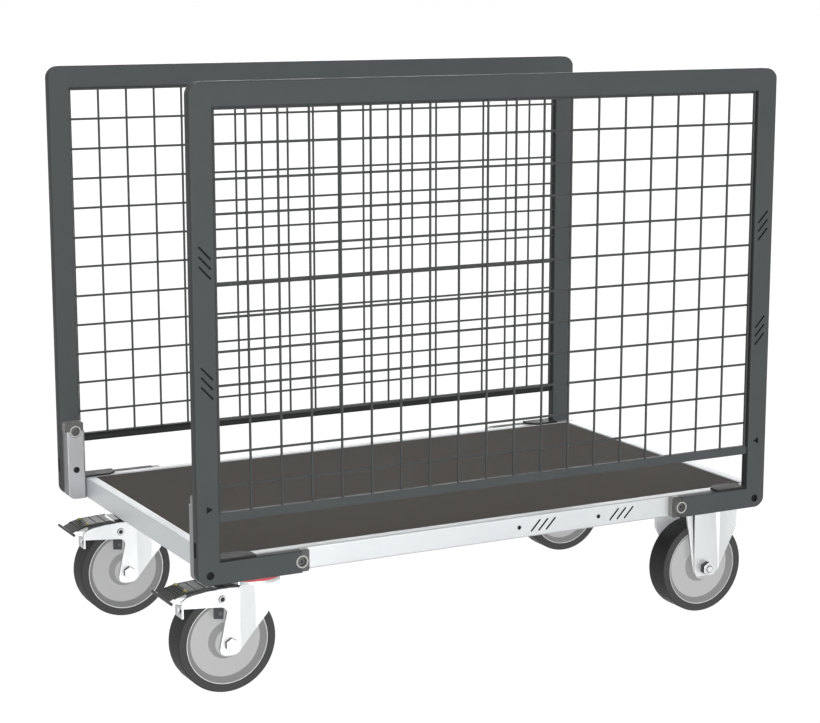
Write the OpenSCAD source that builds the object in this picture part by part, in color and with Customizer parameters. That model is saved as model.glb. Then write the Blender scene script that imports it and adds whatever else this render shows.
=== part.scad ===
// Platform truck with two mesh sides, on two fixed and two braked swivel casters.
// +X is the front (fixed casters), +Y the left, +Z up; the floor is at Z = 0.

/* [Node] */
// Sub-part to draw

/* [Side panels] */
// Length of each side panel, mm
panel_length = 1030; // [900:5:1300]
// Height of the panels' top over the floor, mm
panel_top = 930; // [700:5:1200]
// Face width of the posts and the top bar, mm
post_width = 37; // [34:0.5:45]
// Depth of the panel tubes across the truck, mm
tube_depth = 17; // [15:0.5:25]
// Wall of the panel tubes, mm
tube_wall = 2; // [1.5:0.1:2.5]
// Radius on the long edges of the panel tubes, mm
tube_edge = 3; // [2:0.25:4]
// Radius of the panels' outer corners, mm
corner_radius = 22; // [12:0.5:26]
// Height of the lower rail under the mesh, mm
lower_rail_height = 14; // [10:0.5:25]
// Depth of the lower rail, mm
lower_rail_depth = 9; // [8:0.5:12]
// Clear gap from the platform's top up to the lower rail, mm
lower_gap = 58.5; // [40:0.5:90]
// Length of each foot from the panel's end inward, mm
foot_length = 169; // [140:1:260]
// Diameter of the mesh wires, mm
wire_diameter = 3.8; // [3:0.1:5]
// Distance from wire to wire, mm
mesh_pitch = 50; // [40:1:80]

/* [Panel holes] */
// Length of each slanted slot across the post, mm
slot_across = 18.5; // [14:0.5:22]
// Rise of each slanted slot, mm
slot_rise = 19.5; // [10:0.5:22]
// Width of the slanted slots, mm
slot_width = 3; // [2:0.1:4]
// Distance from slot to slot, mm
slot_pitch = 14.3; // [10:0.1:20]
// Height of the lower slot group over the panel's foot, mm
slot_group_low = 303.5; // [250:0.5:400]
// Distance from the lower to the upper slot group, mm
slot_group_step = 175; // [100:1:200]
// Diameter of the round hole at each lower corner, mm
corner_hole_diameter = 12.5; // [8:0.5:16]
// Side of the triangular hole, mm
triangle_size = 11; // [8:0.5:14]
// Height of the triangular hole over the panel's foot, mm
triangle_height = 116; // [90:1:200]
// Width of the long hole in each post's outer side, mm
side_hole_width = 9; // [6:0.5:10]
// Height of the long hole in each post's outer side, mm
side_hole_height = 24; // [16:0.5:40]
// Height of that hole's middle over the panel's foot, mm
side_hole_level = 55.5; // [50:0.5:90]

/* [Platform] */
// Outer width of the platform, mm
platform_width = 602; // [500:2:800]
// Height of the platform's rails, mm
rail_height = 35; // [30:0.5:50]
// Width of the platform's rails, mm
rail_width = 19; // [16:0.5:30]
// Wall of the platform's rails, mm
rail_wall = 2; // [1.5:0.1:3]
// Radius on the rails' long edges, mm
rail_edge = 2.5; // [2:0.25:4]
// Thickness of the deck board, mm
deck_thickness = 12; // [9:0.5:18]
// Drop from the rails' top to the deck's top, mm
deck_recess = 1; // [0.5:0.25:4]
// Gap round the deck board, mm
deck_gap = 0.5; // [0.25:0.25:2]
// Width of each channel under the deck, mm
channel_width = 102; // [96:1:130]
// Sheet of the channels, mm
channel_wall = 3; // [2:0.25:4]
// Diameter of the small holes in the side rails, mm
rail_hole_diameter = 7; // [4:0.5:10]
// Place of the first small hole ahead of the platform's middle, mm
rail_mark_place = 24.5; // [0:0.5:60]
// Distance between the two groups of marks in each side rail, mm
rail_mark_step = 150; // [120:1:200]
// Distance between the slots of a group in the side rails, mm
rail_slot_pitch = 14.2; // [10:0.1:18]

/* [Corner sockets and connectors] */
// Width of the upright corner sockets, mm
socket_width = 33; // [30:0.5:36]
// Depth of the upright corner sockets, mm
socket_depth = 24; // [20:0.5:30]
// Radius of the sockets' lower outer corner, mm
socket_corner = 14; // [8:0.5:15]
// Height of the sockets' tube over the platform's underside, mm
socket_height = 118; // [90:1:160]
// Diameter of the socket's lower hole, mm
socket_hole_diameter = 11; // [6:0.5:14]
// Height of that hole over the platform's underside, mm
socket_hole_level = 51; // [40:1:70]
// Height of the connectors' ring over their block, mm
ring_height = 7; // [4:0.5:9]
// Length of a connector beyond its tube's end, mm
connector_reach = 15; // [12:0.5:24]
// Length of a connector inside its tube, mm
connector_grip = 40; // [25:1:60]
// Outer diameter of the connector's ring, mm
ring_diameter = 20; // [18:0.5:24]
// Diameter of the screws' heads, mm
screw_head_diameter = 11.5; // [9:0.25:13]
// Diameter of the screws' shanks, mm
screw_shank_diameter = 7; // [5:0.5:8]
// Length of the hook plates beyond the posts, mm
hook_length = 59; // [40:1:80]
// Thickness of the hook plates, mm
hook_thickness = 3; // [2:0.25:4]

/* [Casters] */
// Height of the casters from floor to platform, mm
caster_height = 195; // [190:1:215]
// Diameter of the wheels, mm
wheel_diameter = 160; // [150:1:165]
// Width of the tyres, mm
tyre_width = 45; // [36:0.5:46]
// Radius of the wheels' rims, mm
rim_radius = 67; // [60:0.5:70]
// Distance from the platform's side in to the wheels' middle, mm
caster_inset = 80; // [76:1:90]
// Distance from the panel's rear end to the swivel axis, mm
swivel_inset = 127; // [120:1:200]
// Distance from the panel's front end to the fixed wheels' axis, mm
fixed_inset = 70; // [70:1:120]
// Trail of the swivel casters, mm
swivel_trail = 50; // [40:1:55]
// Length of the top plates along the truck, mm
plate_length = 128; // [124:1:136]
// Width of the top plates across the truck, mm
plate_width = 135; // [128:1:150]
// Thickness of the top plates, mm
plate_thickness = 5; // [4:0.5:6]
// Bolt spacing along the truck, mm
bolt_spacing_x = 80; // [70:1:84]
// Bolt spacing across the truck, mm
bolt_spacing_y = 105; // [98:1:106]
// Radius of the swivel head's seal ring, mm
seal_radius = 47; // [42:0.5:50]
// Clear width between the fork's legs, mm
fork_gap = 58; // [56:0.5:64]
// Sheet of the forks, mm
fork_sheet = 4; // [3:0.25:5]
// Diameter of the axle bolts, mm
axle_diameter = 12; // [10:0.5:14]
// Width of the brake pedal's front bar, mm
pedal_bar_width = 80; // [66:1:90]
// Reach of the brake pedal behind the wheel's axis, mm
pedal_reach = 99; // [95:1:108]

/* [Hidden] */

// Facets that stand for a true round
round_fn = 48;
// Overshoot of cuts
cut = 1;
// Running clearance of round fits, on the radius
run_fit = 0.1;
// Gap between faces that pass each other
pass_gap = 0.3;

// Levels over the floor
platform_bottom = caster_height;
platform_top = platform_bottom + rail_height;
panel_bottom = platform_bottom;
window_top = panel_top - post_width;
lower_rail_bottom = platform_top + lower_gap;
lower_rail_top = lower_rail_bottom + lower_rail_height;

// Stations across the truck, on the right side, counted from the middle
rail_out = platform_width / 2;
rail_in = rail_out - rail_width;
panel_out = rail_out + tube_depth;
panel_mid = rail_out + tube_depth / 2;

// Stations along the truck; the overall box is centred on X = 0
rear_wheel_back = swivel_inset - swivel_trail;
rear_overhang = max(0, pedal_reach - rear_wheel_back);
front_overhang = max(0, wheel_diameter / 2 - fixed_inset);
mid_x = (rear_overhang - front_overhang) / 2;
panel_half = panel_length / 2;
panel_rear = mid_x - panel_half;
panel_front = mid_x + panel_half;
post_in = panel_half - post_width;
platform_rear = panel_rear + post_width;
platform_front = panel_front;
platform_mid = (platform_rear + platform_front) / 2;
swivel_x = panel_rear + swivel_inset;
rear_axle_x = swivel_x - swivel_trail;
front_axle_x = panel_front - fixed_inset;
caster_y = platform_width / 2 - caster_inset;
axle_z = wheel_diameter / 2;

// Deck
deck_top = platform_top - deck_recess;
deck_bottom = deck_top - deck_thickness;
deck_rear = platform_rear + rail_width + deck_gap;
deck_front = platform_front - rail_width - deck_gap;
deck_half_width = rail_in - deck_gap;
rail_slot_length = 25.5;
rail_slot_slant = 46;

// Mesh: as many wires as the window takes
column_count = 2 * floor((post_in - wire_diameter / 2) / mesh_pitch + 0.5);
first_row = window_top - wire_diameter / 2;
row_count = floor((first_row - lower_rail_top - wire_diameter) / mesh_pitch) + 1;
weld_depth = wire_diameter * 0.16;
wire_layer = (wire_diameter - weld_depth) / 2;

// Connectors: the ring sits on the end of its tube
foot_end = panel_half - foot_length;
foot_mid_z = platform_bottom + rail_height / 2;
ring_radius = ring_diameter / 2;
head_radius = screw_head_diameter / 2;
hook_end = post_in - hook_length;
ring_bore = ring_radius - 2.5;
connector_corner = 4;
hook_chamfer = 14;
connector_fit = 0.3;
screw_set_back = 4;
screw_seat = 4;
key_depth = 3;

// Corner sockets
socket_in = platform_rear;
socket_out = platform_rear - socket_width;
socket_face = rail_out - socket_depth;
socket_mid_x = (socket_in + socket_out) / 2;
socket_top = platform_bottom + socket_height;

// Casters: top plates and swivel heads
plate_bottom = platform_bottom - plate_thickness;
plate_corner = 10;
bolt_diameter = 8;
bolt_hole = 9;
bolt_nut_radius = 7.5;
bolt_nut_height = 6.5;
bolt_head_height = 5;
bolt_length = bolt_head_height + plate_thickness + channel_wall + bolt_nut_height + 2;
head_drop = 19.5;
crown_top = platform_bottom - head_drop;
crown_thickness = 5;
seal_height = 5;
cup_radius = seal_radius - 10;
crown_radius = seal_radius - 1;
king_radius = 6;
king_head_radius = 13;
king_head_height = 5;
fork_in = fork_gap / 2;
fork_out = fork_in + fork_sheet;
fork_tuck = 2.5;
roof_half = plate_length / 2;

// Wheels
bore_radius = axle_diameter / 2 + 2;
hub_half = fork_in - 3;
tread_radius = wheel_diameter / 2;
tyre_half = tyre_width / 2;
tyre_round = 6;
rim_half = tyre_half - 1.5;
rim_profile = [
  [bore_radius + run_fit, hub_half], [22, hub_half], [23, hub_half - 1.5], [28.5, 13],
  [rim_radius - 10, 12], [rim_radius - 2, 19], [rim_radius - 1, rim_half], [rim_radius, rim_half],
];
axle_head_radius = axle_diameter * 0.87;
axle_head_height = 7;
axle_nut_radius = axle_diameter;
axle_nut_height = axle_diameter;
axle_end = 1.5;

// Fixed fork: its legs stand close to the hub, and their raised panels run out towards the axle
fixed_in = hub_half + 1;
fixed_out = fixed_in + fork_sheet;
boss_height = 6.5;
boss_low = 1.5;
boss_foot = axle_z + axle_nut_radius + 2;
boss_rear = 29;
boss_front = 14;
boss_slope = 15;
leg_shoulder = axle_z + 66;
leg_foot = axle_z - 14.5;
fixed_half = fixed_out + boss_low;

// Brake: all stations from the wheel's axis, heights over the floor
tuck_start = 15;
tuck_end = swivel_trail - 8;
arm_end = 75;
arm_low = axle_z + 65;
arm_high = axle_z + 88;
pin_back = 12.5;
pin_z = axle_z + 72;
pin_radius = 3;
pin_head_radius = 5.5;
pin_head_height = 2;
cheek_sheet = 2.5;
cheek_out = fork_in - 1;
cheek_in = cheek_out - cheek_sheet;
tab_low = axle_z + 50;
tab_high = axle_z + 66;
tab_step = axle_z + 70;
tab_inner = 6;
tab_sheet = 3;
tab_rim = 2;
tab_hole_wide = 15;
tab_hole_high = 7.5;
bridge_low = axle_z + 83;
bridge_high = axle_z + 86;
press_angle = 10;
shoe_half = 14;
shoe_rear = 50;
shoe_front = 36;
shoe_gap = 0.6;
bar_low = axle_z + 76;
bar_high = axle_z + 79;
bar_depth = 7;

// Colours
frame_color = [0.34, 0.36, 0.37];
zinc_color = [0.78, 0.8, 0.81];
white_color = [0.9, 0.92, 0.94];
deck_color = [0.3, 0.29, 0.28];
rubber_color = [0.26, 0.26, 0.27];
rim_color = [0.72, 0.73, 0.73];
cast_color = [0.6, 0.61, 0.6];
red_color = [0.82, 0.2, 0.24];
black_color = [0.12, 0.13, 0.13];

// Shared shapes

// Rectangle with round corners, about its middle
module rounded(w, h, r) {
  square([w - 2 * r, h], center = true);
  square([w, h - 2 * r], center = true);
  for (x = [-1, 1], y = [-1, 1]) {
    translate([x * (w / 2 - r), y * (h / 2 - r)]) circle(r = r, $fn = round_fn);
  }
}

// Long-hole outline of a given overall length along X
module long_hole(length, width) {
  square([length - width, width], center = true);
  for (x = [-1, 1]) {
    translate([x * (length - width) / 2, 0]) circle(d = width, $fn = round_fn);
  }
}

// Bars with round edges along X, Y and Z between two corners
module bar_x(a, b, r) {
  translate([a[0], (a[1] + b[1]) / 2, (a[2] + b[2]) / 2])
    rotate([90, 0, 90])
      linear_extrude(b[0] - a[0]) rounded(b[1] - a[1], b[2] - a[2], r);
}

module bar_y(a, b, r) {
  translate([(a[0] + b[0]) / 2, b[1], (a[2] + b[2]) / 2])
    rotate([90, 0, 0])
      linear_extrude(b[1] - a[1]) rounded(b[0] - a[0], b[2] - a[2], r);
}

module bar_z(a, b, r) {
  translate([(a[0] + b[0]) / 2, (a[1] + b[1]) / 2, a[2]])
    linear_extrude(b[2] - a[2]) rounded(b[0] - a[0], b[1] - a[1], r);
}

// Plain box between two corners
module box(a, b) {
  translate(a) cube(b - a);
}

// Plate cut from an X-Z outline, from y0 to y1
module plate_xz(y0, y1) {
  translate([0, y1, 0]) rotate([90, 0, 0]) linear_extrude(y1 - y0) children();
}

// Round bar along Y from y0 to y1 at x, z
module pin_y(x, z, y0, y1, r) {
  translate([x, y0, z]) rotate([-90, 0, 0]) cylinder(r = r, h = y1 - y0, $fn = round_fn);
}

// Hexagon along Y from y0 to y1 at x, z
module hex_y(x, z, y0, y1, r) {
  translate([x, y0, z]) rotate([-90, 0, 0]) cylinder(r = r, h = y1 - y0, $fn = 6);
}

// The two sides of the truck: right as built, left mirrored
module on_side(left) {
  if (left) {
    mirror([0, 1, 0]) children();
  } else {
    children();
  }
}

// The two ends of a panel: rear as built, front mirrored about the panel's middle
module on_end(front) {
  translate([mid_x, 0, 0]) {
    if (front) {
      mirror([1, 0, 0]) children();
    } else {
      children();
    }
  }
}

// Side panel, on the right side, about the panel's own middle

// Outline of the whole panel, drawn in by inset, as a thick slab
module panel_slab(inset) {
  translate([0, -panel_mid, (panel_bottom + panel_top) / 2])
    rotate([90, 0, 0])
      linear_extrude(2 * tube_depth, center = true)
        rounded(panel_length - 2 * inset, panel_top - panel_bottom - 2 * inset, corner_radius - inset);
}

// Slab with an outline given as points in X-Z
module slab_xz(points) {
  plate_xz(-panel_out - cut, -rail_out + cut) polygon(points);
}

module slot_group(z) {
  for (i = [-1, 0, 1]) {
    translate([-panel_half + post_width / 2 + 2, -panel_out + tube_wall + cut, z + i * slot_pitch])
      rotate([90, 0, 0])
        linear_extrude(tube_wall + 2 * cut)
          rotate(-atan(slot_rise / slot_across))
            long_hole(sqrt(pow(slot_across, 2) + pow(slot_rise, 2)), slot_width);
  }
}

module corner_hole() {
  pin_y(-panel_half + post_width / 2 + 1.5, panel_bottom + 16, -panel_out - cut,
    -panel_out + tube_wall + cut, corner_hole_diameter / 2);
}

module triangle_hole() {
  z = panel_bottom + triangle_height;
  translate([-panel_half + post_width / 2 + 1.5, -panel_out + tube_wall + cut, z])
    rotate([90, 0, 0])
      linear_extrude(tube_wall + 2 * cut)
        polygon([
          [-triangle_size * 0.35, -triangle_size / 2],
          [triangle_size * 0.55, 0],
          [-triangle_size * 0.35, triangle_size / 2],
        ]);
}

module side_hole() {
  translate([-panel_half - cut, -panel_mid, panel_bottom + side_hole_level])
    rotate([90, 0, 90])
      linear_extrude(tube_wall + 2 * cut)
        rotate(90) long_hole(side_hole_height, side_hole_width);
}

module post() {
  difference() {
    intersection() {
      bar_z([-panel_half, -panel_out, panel_bottom], [-post_in, -rail_out, panel_top], tube_edge);
      panel_slab(0);
      slab_xz([
        [-panel_half, panel_bottom],
        [-post_in, platform_top],
        [-post_in, window_top],
        [-panel_half, panel_top],
      ]);
    }
    intersection() {
      box([-panel_half + tube_wall, -panel_out + tube_wall, panel_bottom],
        [-post_in - tube_wall, -rail_out - tube_wall, panel_top]);
      panel_slab(tube_wall);
    }
    for (k = [0, 1]) {
      slot_group(panel_bottom + slot_group_low + k * slot_group_step);
    }
    corner_hole();
    triangle_hole();
    side_hole();
  }
}

module top_bar() {
  difference() {
    intersection() {
      bar_x([-panel_half, -panel_out, window_top], [panel_half, -rail_out, panel_top], tube_edge);
      panel_slab(0);
      slab_xz([
        [-panel_half, panel_top],
        [-post_in, window_top],
        [post_in, window_top],
        [panel_half, panel_top],
      ]);
    }
    intersection() {
      box([-panel_half, -panel_out + tube_wall, window_top + tube_wall],
        [panel_half, -rail_out - tube_wall, panel_top - tube_wall]);
      panel_slab(tube_wall);
    }
  }
}

module foot() {
  difference() {
    intersection() {
      bar_x([-panel_half, -panel_out, panel_bottom], [-foot_end, -rail_out, platform_top], tube_edge);
      panel_slab(0);
      slab_xz([
        [-panel_half, panel_bottom],
        [-foot_end, panel_bottom],
        [-foot_end, platform_top],
        [-post_in, platform_top],
      ]);
    }
    intersection() {
      box([-panel_half, -panel_out + tube_wall, panel_bottom + tube_wall],
        [-foot_end + cut, -rail_out - tube_wall, platform_top - tube_wall]);
      panel_slab(tube_wall);
    }
    corner_hole();
    pin_y(-foot_end, foot_mid_z, -panel_out - cut, -panel_out + tube_wall + cut, ring_radius + pass_gap);
  }
}

module lower_rail() {
  bar_x([-post_in, -panel_mid - lower_rail_depth / 2, lower_rail_bottom],
    [post_in, -panel_mid + lower_rail_depth / 2, lower_rail_top], 1);
}

module mesh() {
  for (i = [0 : column_count - 1]) {
    translate([(i - (column_count - 1) / 2) * mesh_pitch, -panel_mid - wire_layer, lower_rail_top])
      cylinder(d = wire_diameter, h = window_top - lower_rail_top, $fn = round_fn);
  }
  for (k = [0 : row_count - 1]) {
    translate([-post_in, -panel_mid + wire_layer, first_row - k * mesh_pitch])
      rotate([0, 90, 0]) cylinder(d = wire_diameter, h = 2 * post_in, $fn = round_fn);
  }
}

// Hook plate: welded on the foot, lies over the side rail; its free inner corner is cut off
module hook_plate() {
  translate([0, 0, platform_top])
    linear_extrude(hook_thickness)
      polygon([
        [-post_in, -panel_out + tube_edge], [-hook_end, -panel_out + tube_edge],
        [-hook_end, -rail_in - hook_chamfer], [-hook_end - hook_chamfer, -rail_in], [-post_in, -rail_in],
      ]);
}

// Connector: a block beyond the tube's end, a plug inside the tube and a ring on the end's line.
// The ring's middle is the origin and +X points out of the tube
module connector(width, depth) {
  plug = width - 2 * tube_wall - 2 * connector_fit;
  difference() {
    union() {
      plate_xz(ring_height, depth) {
        translate([connector_reach / 2, 0]) rounded(connector_reach, width, connector_corner);
        translate([connector_corner / 2, 0]) square([connector_corner, width], center = true);
      }
      plate_xz(tube_wall + connector_fit, depth - tube_wall - connector_fit)
        translate([-connector_grip / 2, 0]) square([connector_grip, plug], center = true);
      pin_y(0, 0, 0, depth - tube_wall - connector_fit, ring_radius);
    }
    pin_y(0, 0, -cut, depth - screw_seat, ring_bore);
    pin_y(0, 0, -cut, depth + cut, screw_shank_diameter / 2);
  }
}

// Screw with a hexagon socket; its head is set back in the ring
module screw(depth) {
  difference() {
    union() {
      pin_y(0, 0, screw_set_back, depth - screw_seat, head_radius);
      pin_y(0, 0, screw_set_back, depth - tube_wall - connector_fit, screw_shank_diameter / 2);
    }
    hex_y(0, 0, screw_set_back - cut, screw_set_back + key_depth, head_radius * 0.5);
  }
}

module at_foot() {
  translate([-foot_end, -panel_out, foot_mid_z]) children();
}

module at_socket() {
  translate([socket_mid_x, -socket_face, socket_top]) rotate([0, -90, 0]) mirror([0, 1, 0]) children();
}

// Platform

module marks() {
  start = platform_mid + rail_mark_place;
  for (k = [0, 1]) {
    x = start + k * rail_mark_step;
    pin_y(x, foot_mid_z, -rail_out - cut, -rail_out + rail_wall + cut, rail_hole_diameter / 2);
    for (i = [0 : 2]) {
      translate([x + 30.5 + i * rail_slot_pitch, -rail_out + rail_wall + cut, foot_mid_z])
        rotate([90, 0, 0])
          linear_extrude(rail_wall + 2 * cut)
            rotate(rail_slot_slant) long_hole(rail_slot_length, slot_width);
    }
  }
}

module side_rail() {
  difference() {
    bar_x([platform_rear, -rail_out, platform_bottom], [platform_front, -rail_in, platform_top], rail_edge);
    box([platform_rear + rail_wall, -rail_out + rail_wall, platform_bottom + rail_wall],
      [platform_front - rail_wall, -rail_in - rail_wall, platform_top - rail_wall]);
    marks();
  }
}

module end_rail(x) {
  difference() {
    bar_y([x, -rail_in, platform_bottom], [x + rail_width, rail_in, platform_top], rail_edge);
    box([x + rail_wall, -rail_in - cut, platform_bottom + rail_wall],
      [x + rail_width - rail_wall, rail_in + cut, platform_top - rail_wall]);
  }
}

// Upward-open channel across the platform, its web on the casters' plates
module channel(x) {
  difference() {
    box([x - channel_width / 2, -rail_in, platform_bottom], [x + channel_width / 2, rail_in, deck_bottom]);
    box([x - channel_width / 2 + channel_wall, -rail_in - cut, platform_bottom + channel_wall],
      [x + channel_width / 2 - channel_wall, rail_in + cut, deck_bottom + cut]);
  }
}

// Bolt holes of both casters at one station
module bolt_rows(x, z0, z1) {
  for (s = [-1, 1], i = [-1, 1], j = [-1, 1]) {
    translate([x + i * bolt_spacing_x / 2, s * caster_y + j * bolt_spacing_y / 2, z0])
      cylinder(d = bolt_hole, h = z1 - z0, $fn = round_fn);
  }
}

module corner_socket() {
  difference() {
    intersection() {
      bar_z([socket_out, -rail_out, platform_bottom], [socket_in, -socket_face, socket_top], tube_edge);
      translate([(socket_out + socket_in) / 2, 0, platform_bottom + socket_height])
        plate_xz(-rail_out - cut, -socket_face + cut)
          union() {
            rounded(socket_width, 2 * socket_height, socket_corner);
            translate([socket_width / 2 - socket_corner, -socket_height]) square(socket_corner);
          }
    }
    box([socket_out + tube_wall, -rail_out + tube_wall, platform_bottom + socket_corner],
      [socket_in - tube_wall, -socket_face - tube_wall, socket_top + cut]);
    pin_y(socket_mid_x, platform_bottom + socket_hole_level, -socket_face - tube_wall - cut,
      -socket_face + cut, socket_hole_diameter / 2);
    pin_y(socket_mid_x, socket_top, -socket_face - tube_wall - cut, -socket_face + cut,
      ring_radius + pass_gap);
  }
}

// Casters

module top_plate() {
  difference() {
    translate([0, 0, plate_bottom])
      linear_extrude(plate_thickness) rounded(plate_length, plate_width, plate_corner);
    for (i = [-1, 1], j = [-1, 1]) {
      translate([i * bolt_spacing_x / 2, j * bolt_spacing_y / 2, plate_bottom - cut])
        cylinder(d = bolt_hole, h = plate_thickness + 2 * cut, $fn = round_fn);
    }
    children();
  }
}

module swivel_plate() {
  difference() {
    union() {
      top_plate();
      translate([0, 0, crown_top + pass_gap])
        cylinder(r = cup_radius, h = plate_bottom - crown_top - pass_gap + cut, $fn = round_fn);
    }
    translate([0, 0, crown_top - cut])
      cylinder(r = king_radius, h = platform_bottom - crown_top + 2 * cut, $fn = round_fn);
  }
}

module caster_bolt() {
  translate([0, 0, plate_bottom - bolt_head_height])
    cylinder(r = bolt_nut_radius, h = bolt_head_height, $fn = 6);
  translate([0, 0, plate_bottom - bolt_head_height])
    cylinder(d = bolt_diameter, h = bolt_length, $fn = round_fn);
  translate([0, 0, platform_bottom + channel_wall])
    cylinder(r = bolt_nut_radius, h = bolt_nut_height, $fn = 6);
}

module seal_ring() {
  translate([0, 0, crown_top + pass_gap])
    difference() {
      cylinder(r = seal_radius, h = seal_height, $fn = round_fn);
      translate([0, 0, -cut]) cylinder(r = cup_radius, h = seal_height + 2 * cut, $fn = round_fn);
    }
}

module king_bolt() {
  head_top = crown_top - crown_thickness - pass_gap;
  translate([0, 0, head_top - king_head_height])
    cylinder(r = king_head_radius, h = king_head_height, $fn = 6);
  translate([0, 0, head_top - king_head_height])
    cylinder(r = king_radius, h = platform_bottom - head_top + king_head_height, $fn = round_fn);
}

// Leg of a swivel fork, X from the wheel's axis
module swivel_leg() {
  difference() {
    intersection() {
      plate_xz(fork_in - fork_tuck - cut, fork_out + cut)
        polygon([
          [-17.6, axle_z - 8], [-15.5, axle_z - 14.5], [-10, axle_z - 17.5], [0, axle_z - 18.6],
          [8, axle_z - 18], [14, axle_z - 15], [63, axle_z + 39], [swivel_trail + 37, crown_top],
          [swivel_trail - 24, crown_top], [swivel_trail - 29, crown_top - 3], [16, arm_high - 1],
          [0, arm_high],
          [-38, arm_high - 1], [-60, arm_high - 4], [-71, arm_high - 7], [-arm_end, arm_high - 10],
          [-arm_end, arm_low], [-14, axle_z + 59.5], [-8, axle_z + 57], [-4.5, axle_z + 51],
        ]);
      linear_extrude(2 * axle_z + swivel_trail)
        polygon([
          [-arm_end - cut, fork_in], [-arm_end - cut, fork_out], [tuck_start, fork_out],
          [tuck_end, fork_out - fork_tuck], [2 * swivel_trail, fork_out - fork_tuck],
          [2 * swivel_trail, fork_in - fork_tuck], [tuck_end, fork_in - fork_tuck], [tuck_start, fork_in],
        ]);
    }
    pin_y(0, axle_z, fork_in - cut, fork_out + cut, axle_diameter / 2);
    pin_y(-pin_back, pin_z, fork_in - cut, fork_out + cut, pin_radius);
  }
}

// Swivel fork, X from the wheel's axis and Y from its middle
module swivel_fork() {
  difference() {
    union() {
      for (m = [0, 1]) {
        mirror([0, m, 0]) swivel_leg();
      }
      translate([swivel_trail, 0, crown_top - crown_thickness])
        cylinder(r = crown_radius, h = crown_thickness, $fn = round_fn);
      translate([-arm_end - tab_sheet, 0, 0]) rotate([90, 0, 90])
        linear_extrude(tab_sheet)
          difference() {
            polygon([
              [-fork_out, tab_low], [-tab_inner, tab_low], [-tab_inner, tab_high], [-fork_in, tab_step],
              [-fork_in, arm_high - 11], [-fork_out, arm_high - 11],
            ]);
            translate([-fork_out + tab_rim, tab_high - tab_rim - tab_hole_high])
              square([tab_hole_wide, tab_hole_high]);
          }
    }
    translate([swivel_trail, 0, crown_top - crown_thickness - cut])
      cylinder(r = king_radius + run_fit, h = crown_thickness + 2 * cut, $fn = round_fn);
  }
}

// Leg of a fixed fork: a flat sheet with a raised panel, X from the wheel's axis
module fixed_leg() {
  plate_xz(fixed_in, fixed_out)
    polygon([
      [-24, axle_z - 6], [-19, leg_foot], [17, leg_foot], [28, axle_z - 5], [roof_half, leg_shoulder],
      [roof_half, plate_bottom], [22 - roof_half, plate_bottom], [-28, axle_z + 16],
    ]);
  intersection() {
    plate_xz(fixed_in, fixed_out + boss_height)
      polygon([
        [-23, axle_z - 6], [-19, leg_foot], [17, leg_foot], [28, axle_z - 5], [roof_half, leg_shoulder],
        [roof_half, plate_bottom], [-boss_rear, plate_bottom], [-24, axle_z + 16],
      ]);
    linear_extrude(plate_bottom)
      polygon([
        [-plate_length, fixed_in], [-plate_length, fixed_out + boss_height],
        [boss_front, fixed_out + boss_height], [boss_front + boss_slope, fixed_out],
        [boss_front + boss_slope, fixed_in],
      ]);
    translate([-plate_length, 0, 0]) rotate([90, 0, 90])
      linear_extrude(2 * plate_length)
        polygon([
          [fixed_in, 0], [fixed_half, 0], [fixed_half, boss_foot],
          [fixed_out + boss_height, plate_bottom], [fixed_in, plate_bottom],
        ]);
  }
}

// Fixed fork: two equal legs, set half a turn apart under a flat roof
module fixed_fork() {
  difference() {
    union() {
      for (turn = [0, 180]) {
        rotate([0, 0, turn]) mirror([0, 1, 0]) fixed_leg();
      }
      box([-roof_half, -fixed_in, plate_bottom - fork_sheet], [roof_half, fixed_in, plate_bottom]);
    }
    pin_y(0, axle_z, -fixed_half - cut, fixed_half + cut, axle_diameter / 2);
  }
}

// Axle bolt over a fork of a given half width: head on the right, or on the left where flip is true
module axle_bolt(half, flip) {
  mirror([0, flip ? 1 : 0, 0]) {
    pin_y(0, axle_z, -half, half + axle_nut_height + axle_end, axle_diameter / 2);
    hex_y(0, axle_z, -half - axle_head_height, -half, axle_head_radius);
  }
}

module axle_nut(half, flip) {
  mirror([0, flip ? 1 : 0, 0])
    difference() {
      hex_y(0, axle_z, half, half + axle_nut_height, axle_nut_radius);
      pin_y(0, axle_z, half - cut, half + axle_nut_height + cut, axle_diameter / 2);
    }
}

module sleeve(half) {
  difference() {
    pin_y(0, axle_z, -half, half, bore_radius);
    pin_y(0, axle_z, -half - cut, half + cut, axle_diameter / 2);
  }
}

// Turned about the axle, from a profile of radius and half width
module turned() {
  translate([0, 0, axle_z]) rotate([90, 0, 0]) rotate_extrude($fn = 96) children();
}

module tyre() {
  turned()
    intersection() {
      translate([rim_radius, -tyre_half]) square([tread_radius - rim_radius, tyre_width]);
      translate([tread_radius / 2, 0]) rounded(tread_radius, tyre_width, tyre_round);
    }
}

module rim() {
  turned()
    polygon([
      for (p = rim_profile) [p[0], -p[1]],
      for (i = [len(rim_profile) - 1 : -1 : 0]) rim_profile[i],
    ]);
}

// Brake lever: two cheeks beside the tyre, a bridge over it and a shoe
module brake_lever() {
  for (y0 = [-cheek_out, cheek_in]) {
    plate_xz(y0, y0 + cheek_sheet)
      difference() {
        polygon([
          [-7, axle_z + 79], [-7, axle_z + 64], [-9, axle_z + 39], [-24, axle_z + 41], [-24, axle_z + 64],
          [-66, axle_z + 74], [-66, bridge_low], [-20, bridge_low],
        ]);
        translate([-pin_back, pin_z]) circle(r = pin_radius + run_fit, $fn = round_fn);
      }
  }
  box([-66, -cheek_out, bridge_low], [-22, cheek_out, bridge_high]);
  difference() {
    box([-shoe_rear, -shoe_half, axle_z + 62], [-shoe_front, shoe_half, bridge_low]);
    translate([-pin_back, 0, pin_z])
      rotate([0, press_angle, 0])
        pin_y(pin_back, axle_z - pin_z, -shoe_half - cut, shoe_half + cut, tread_radius + shoe_gap);
  }
}

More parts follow.
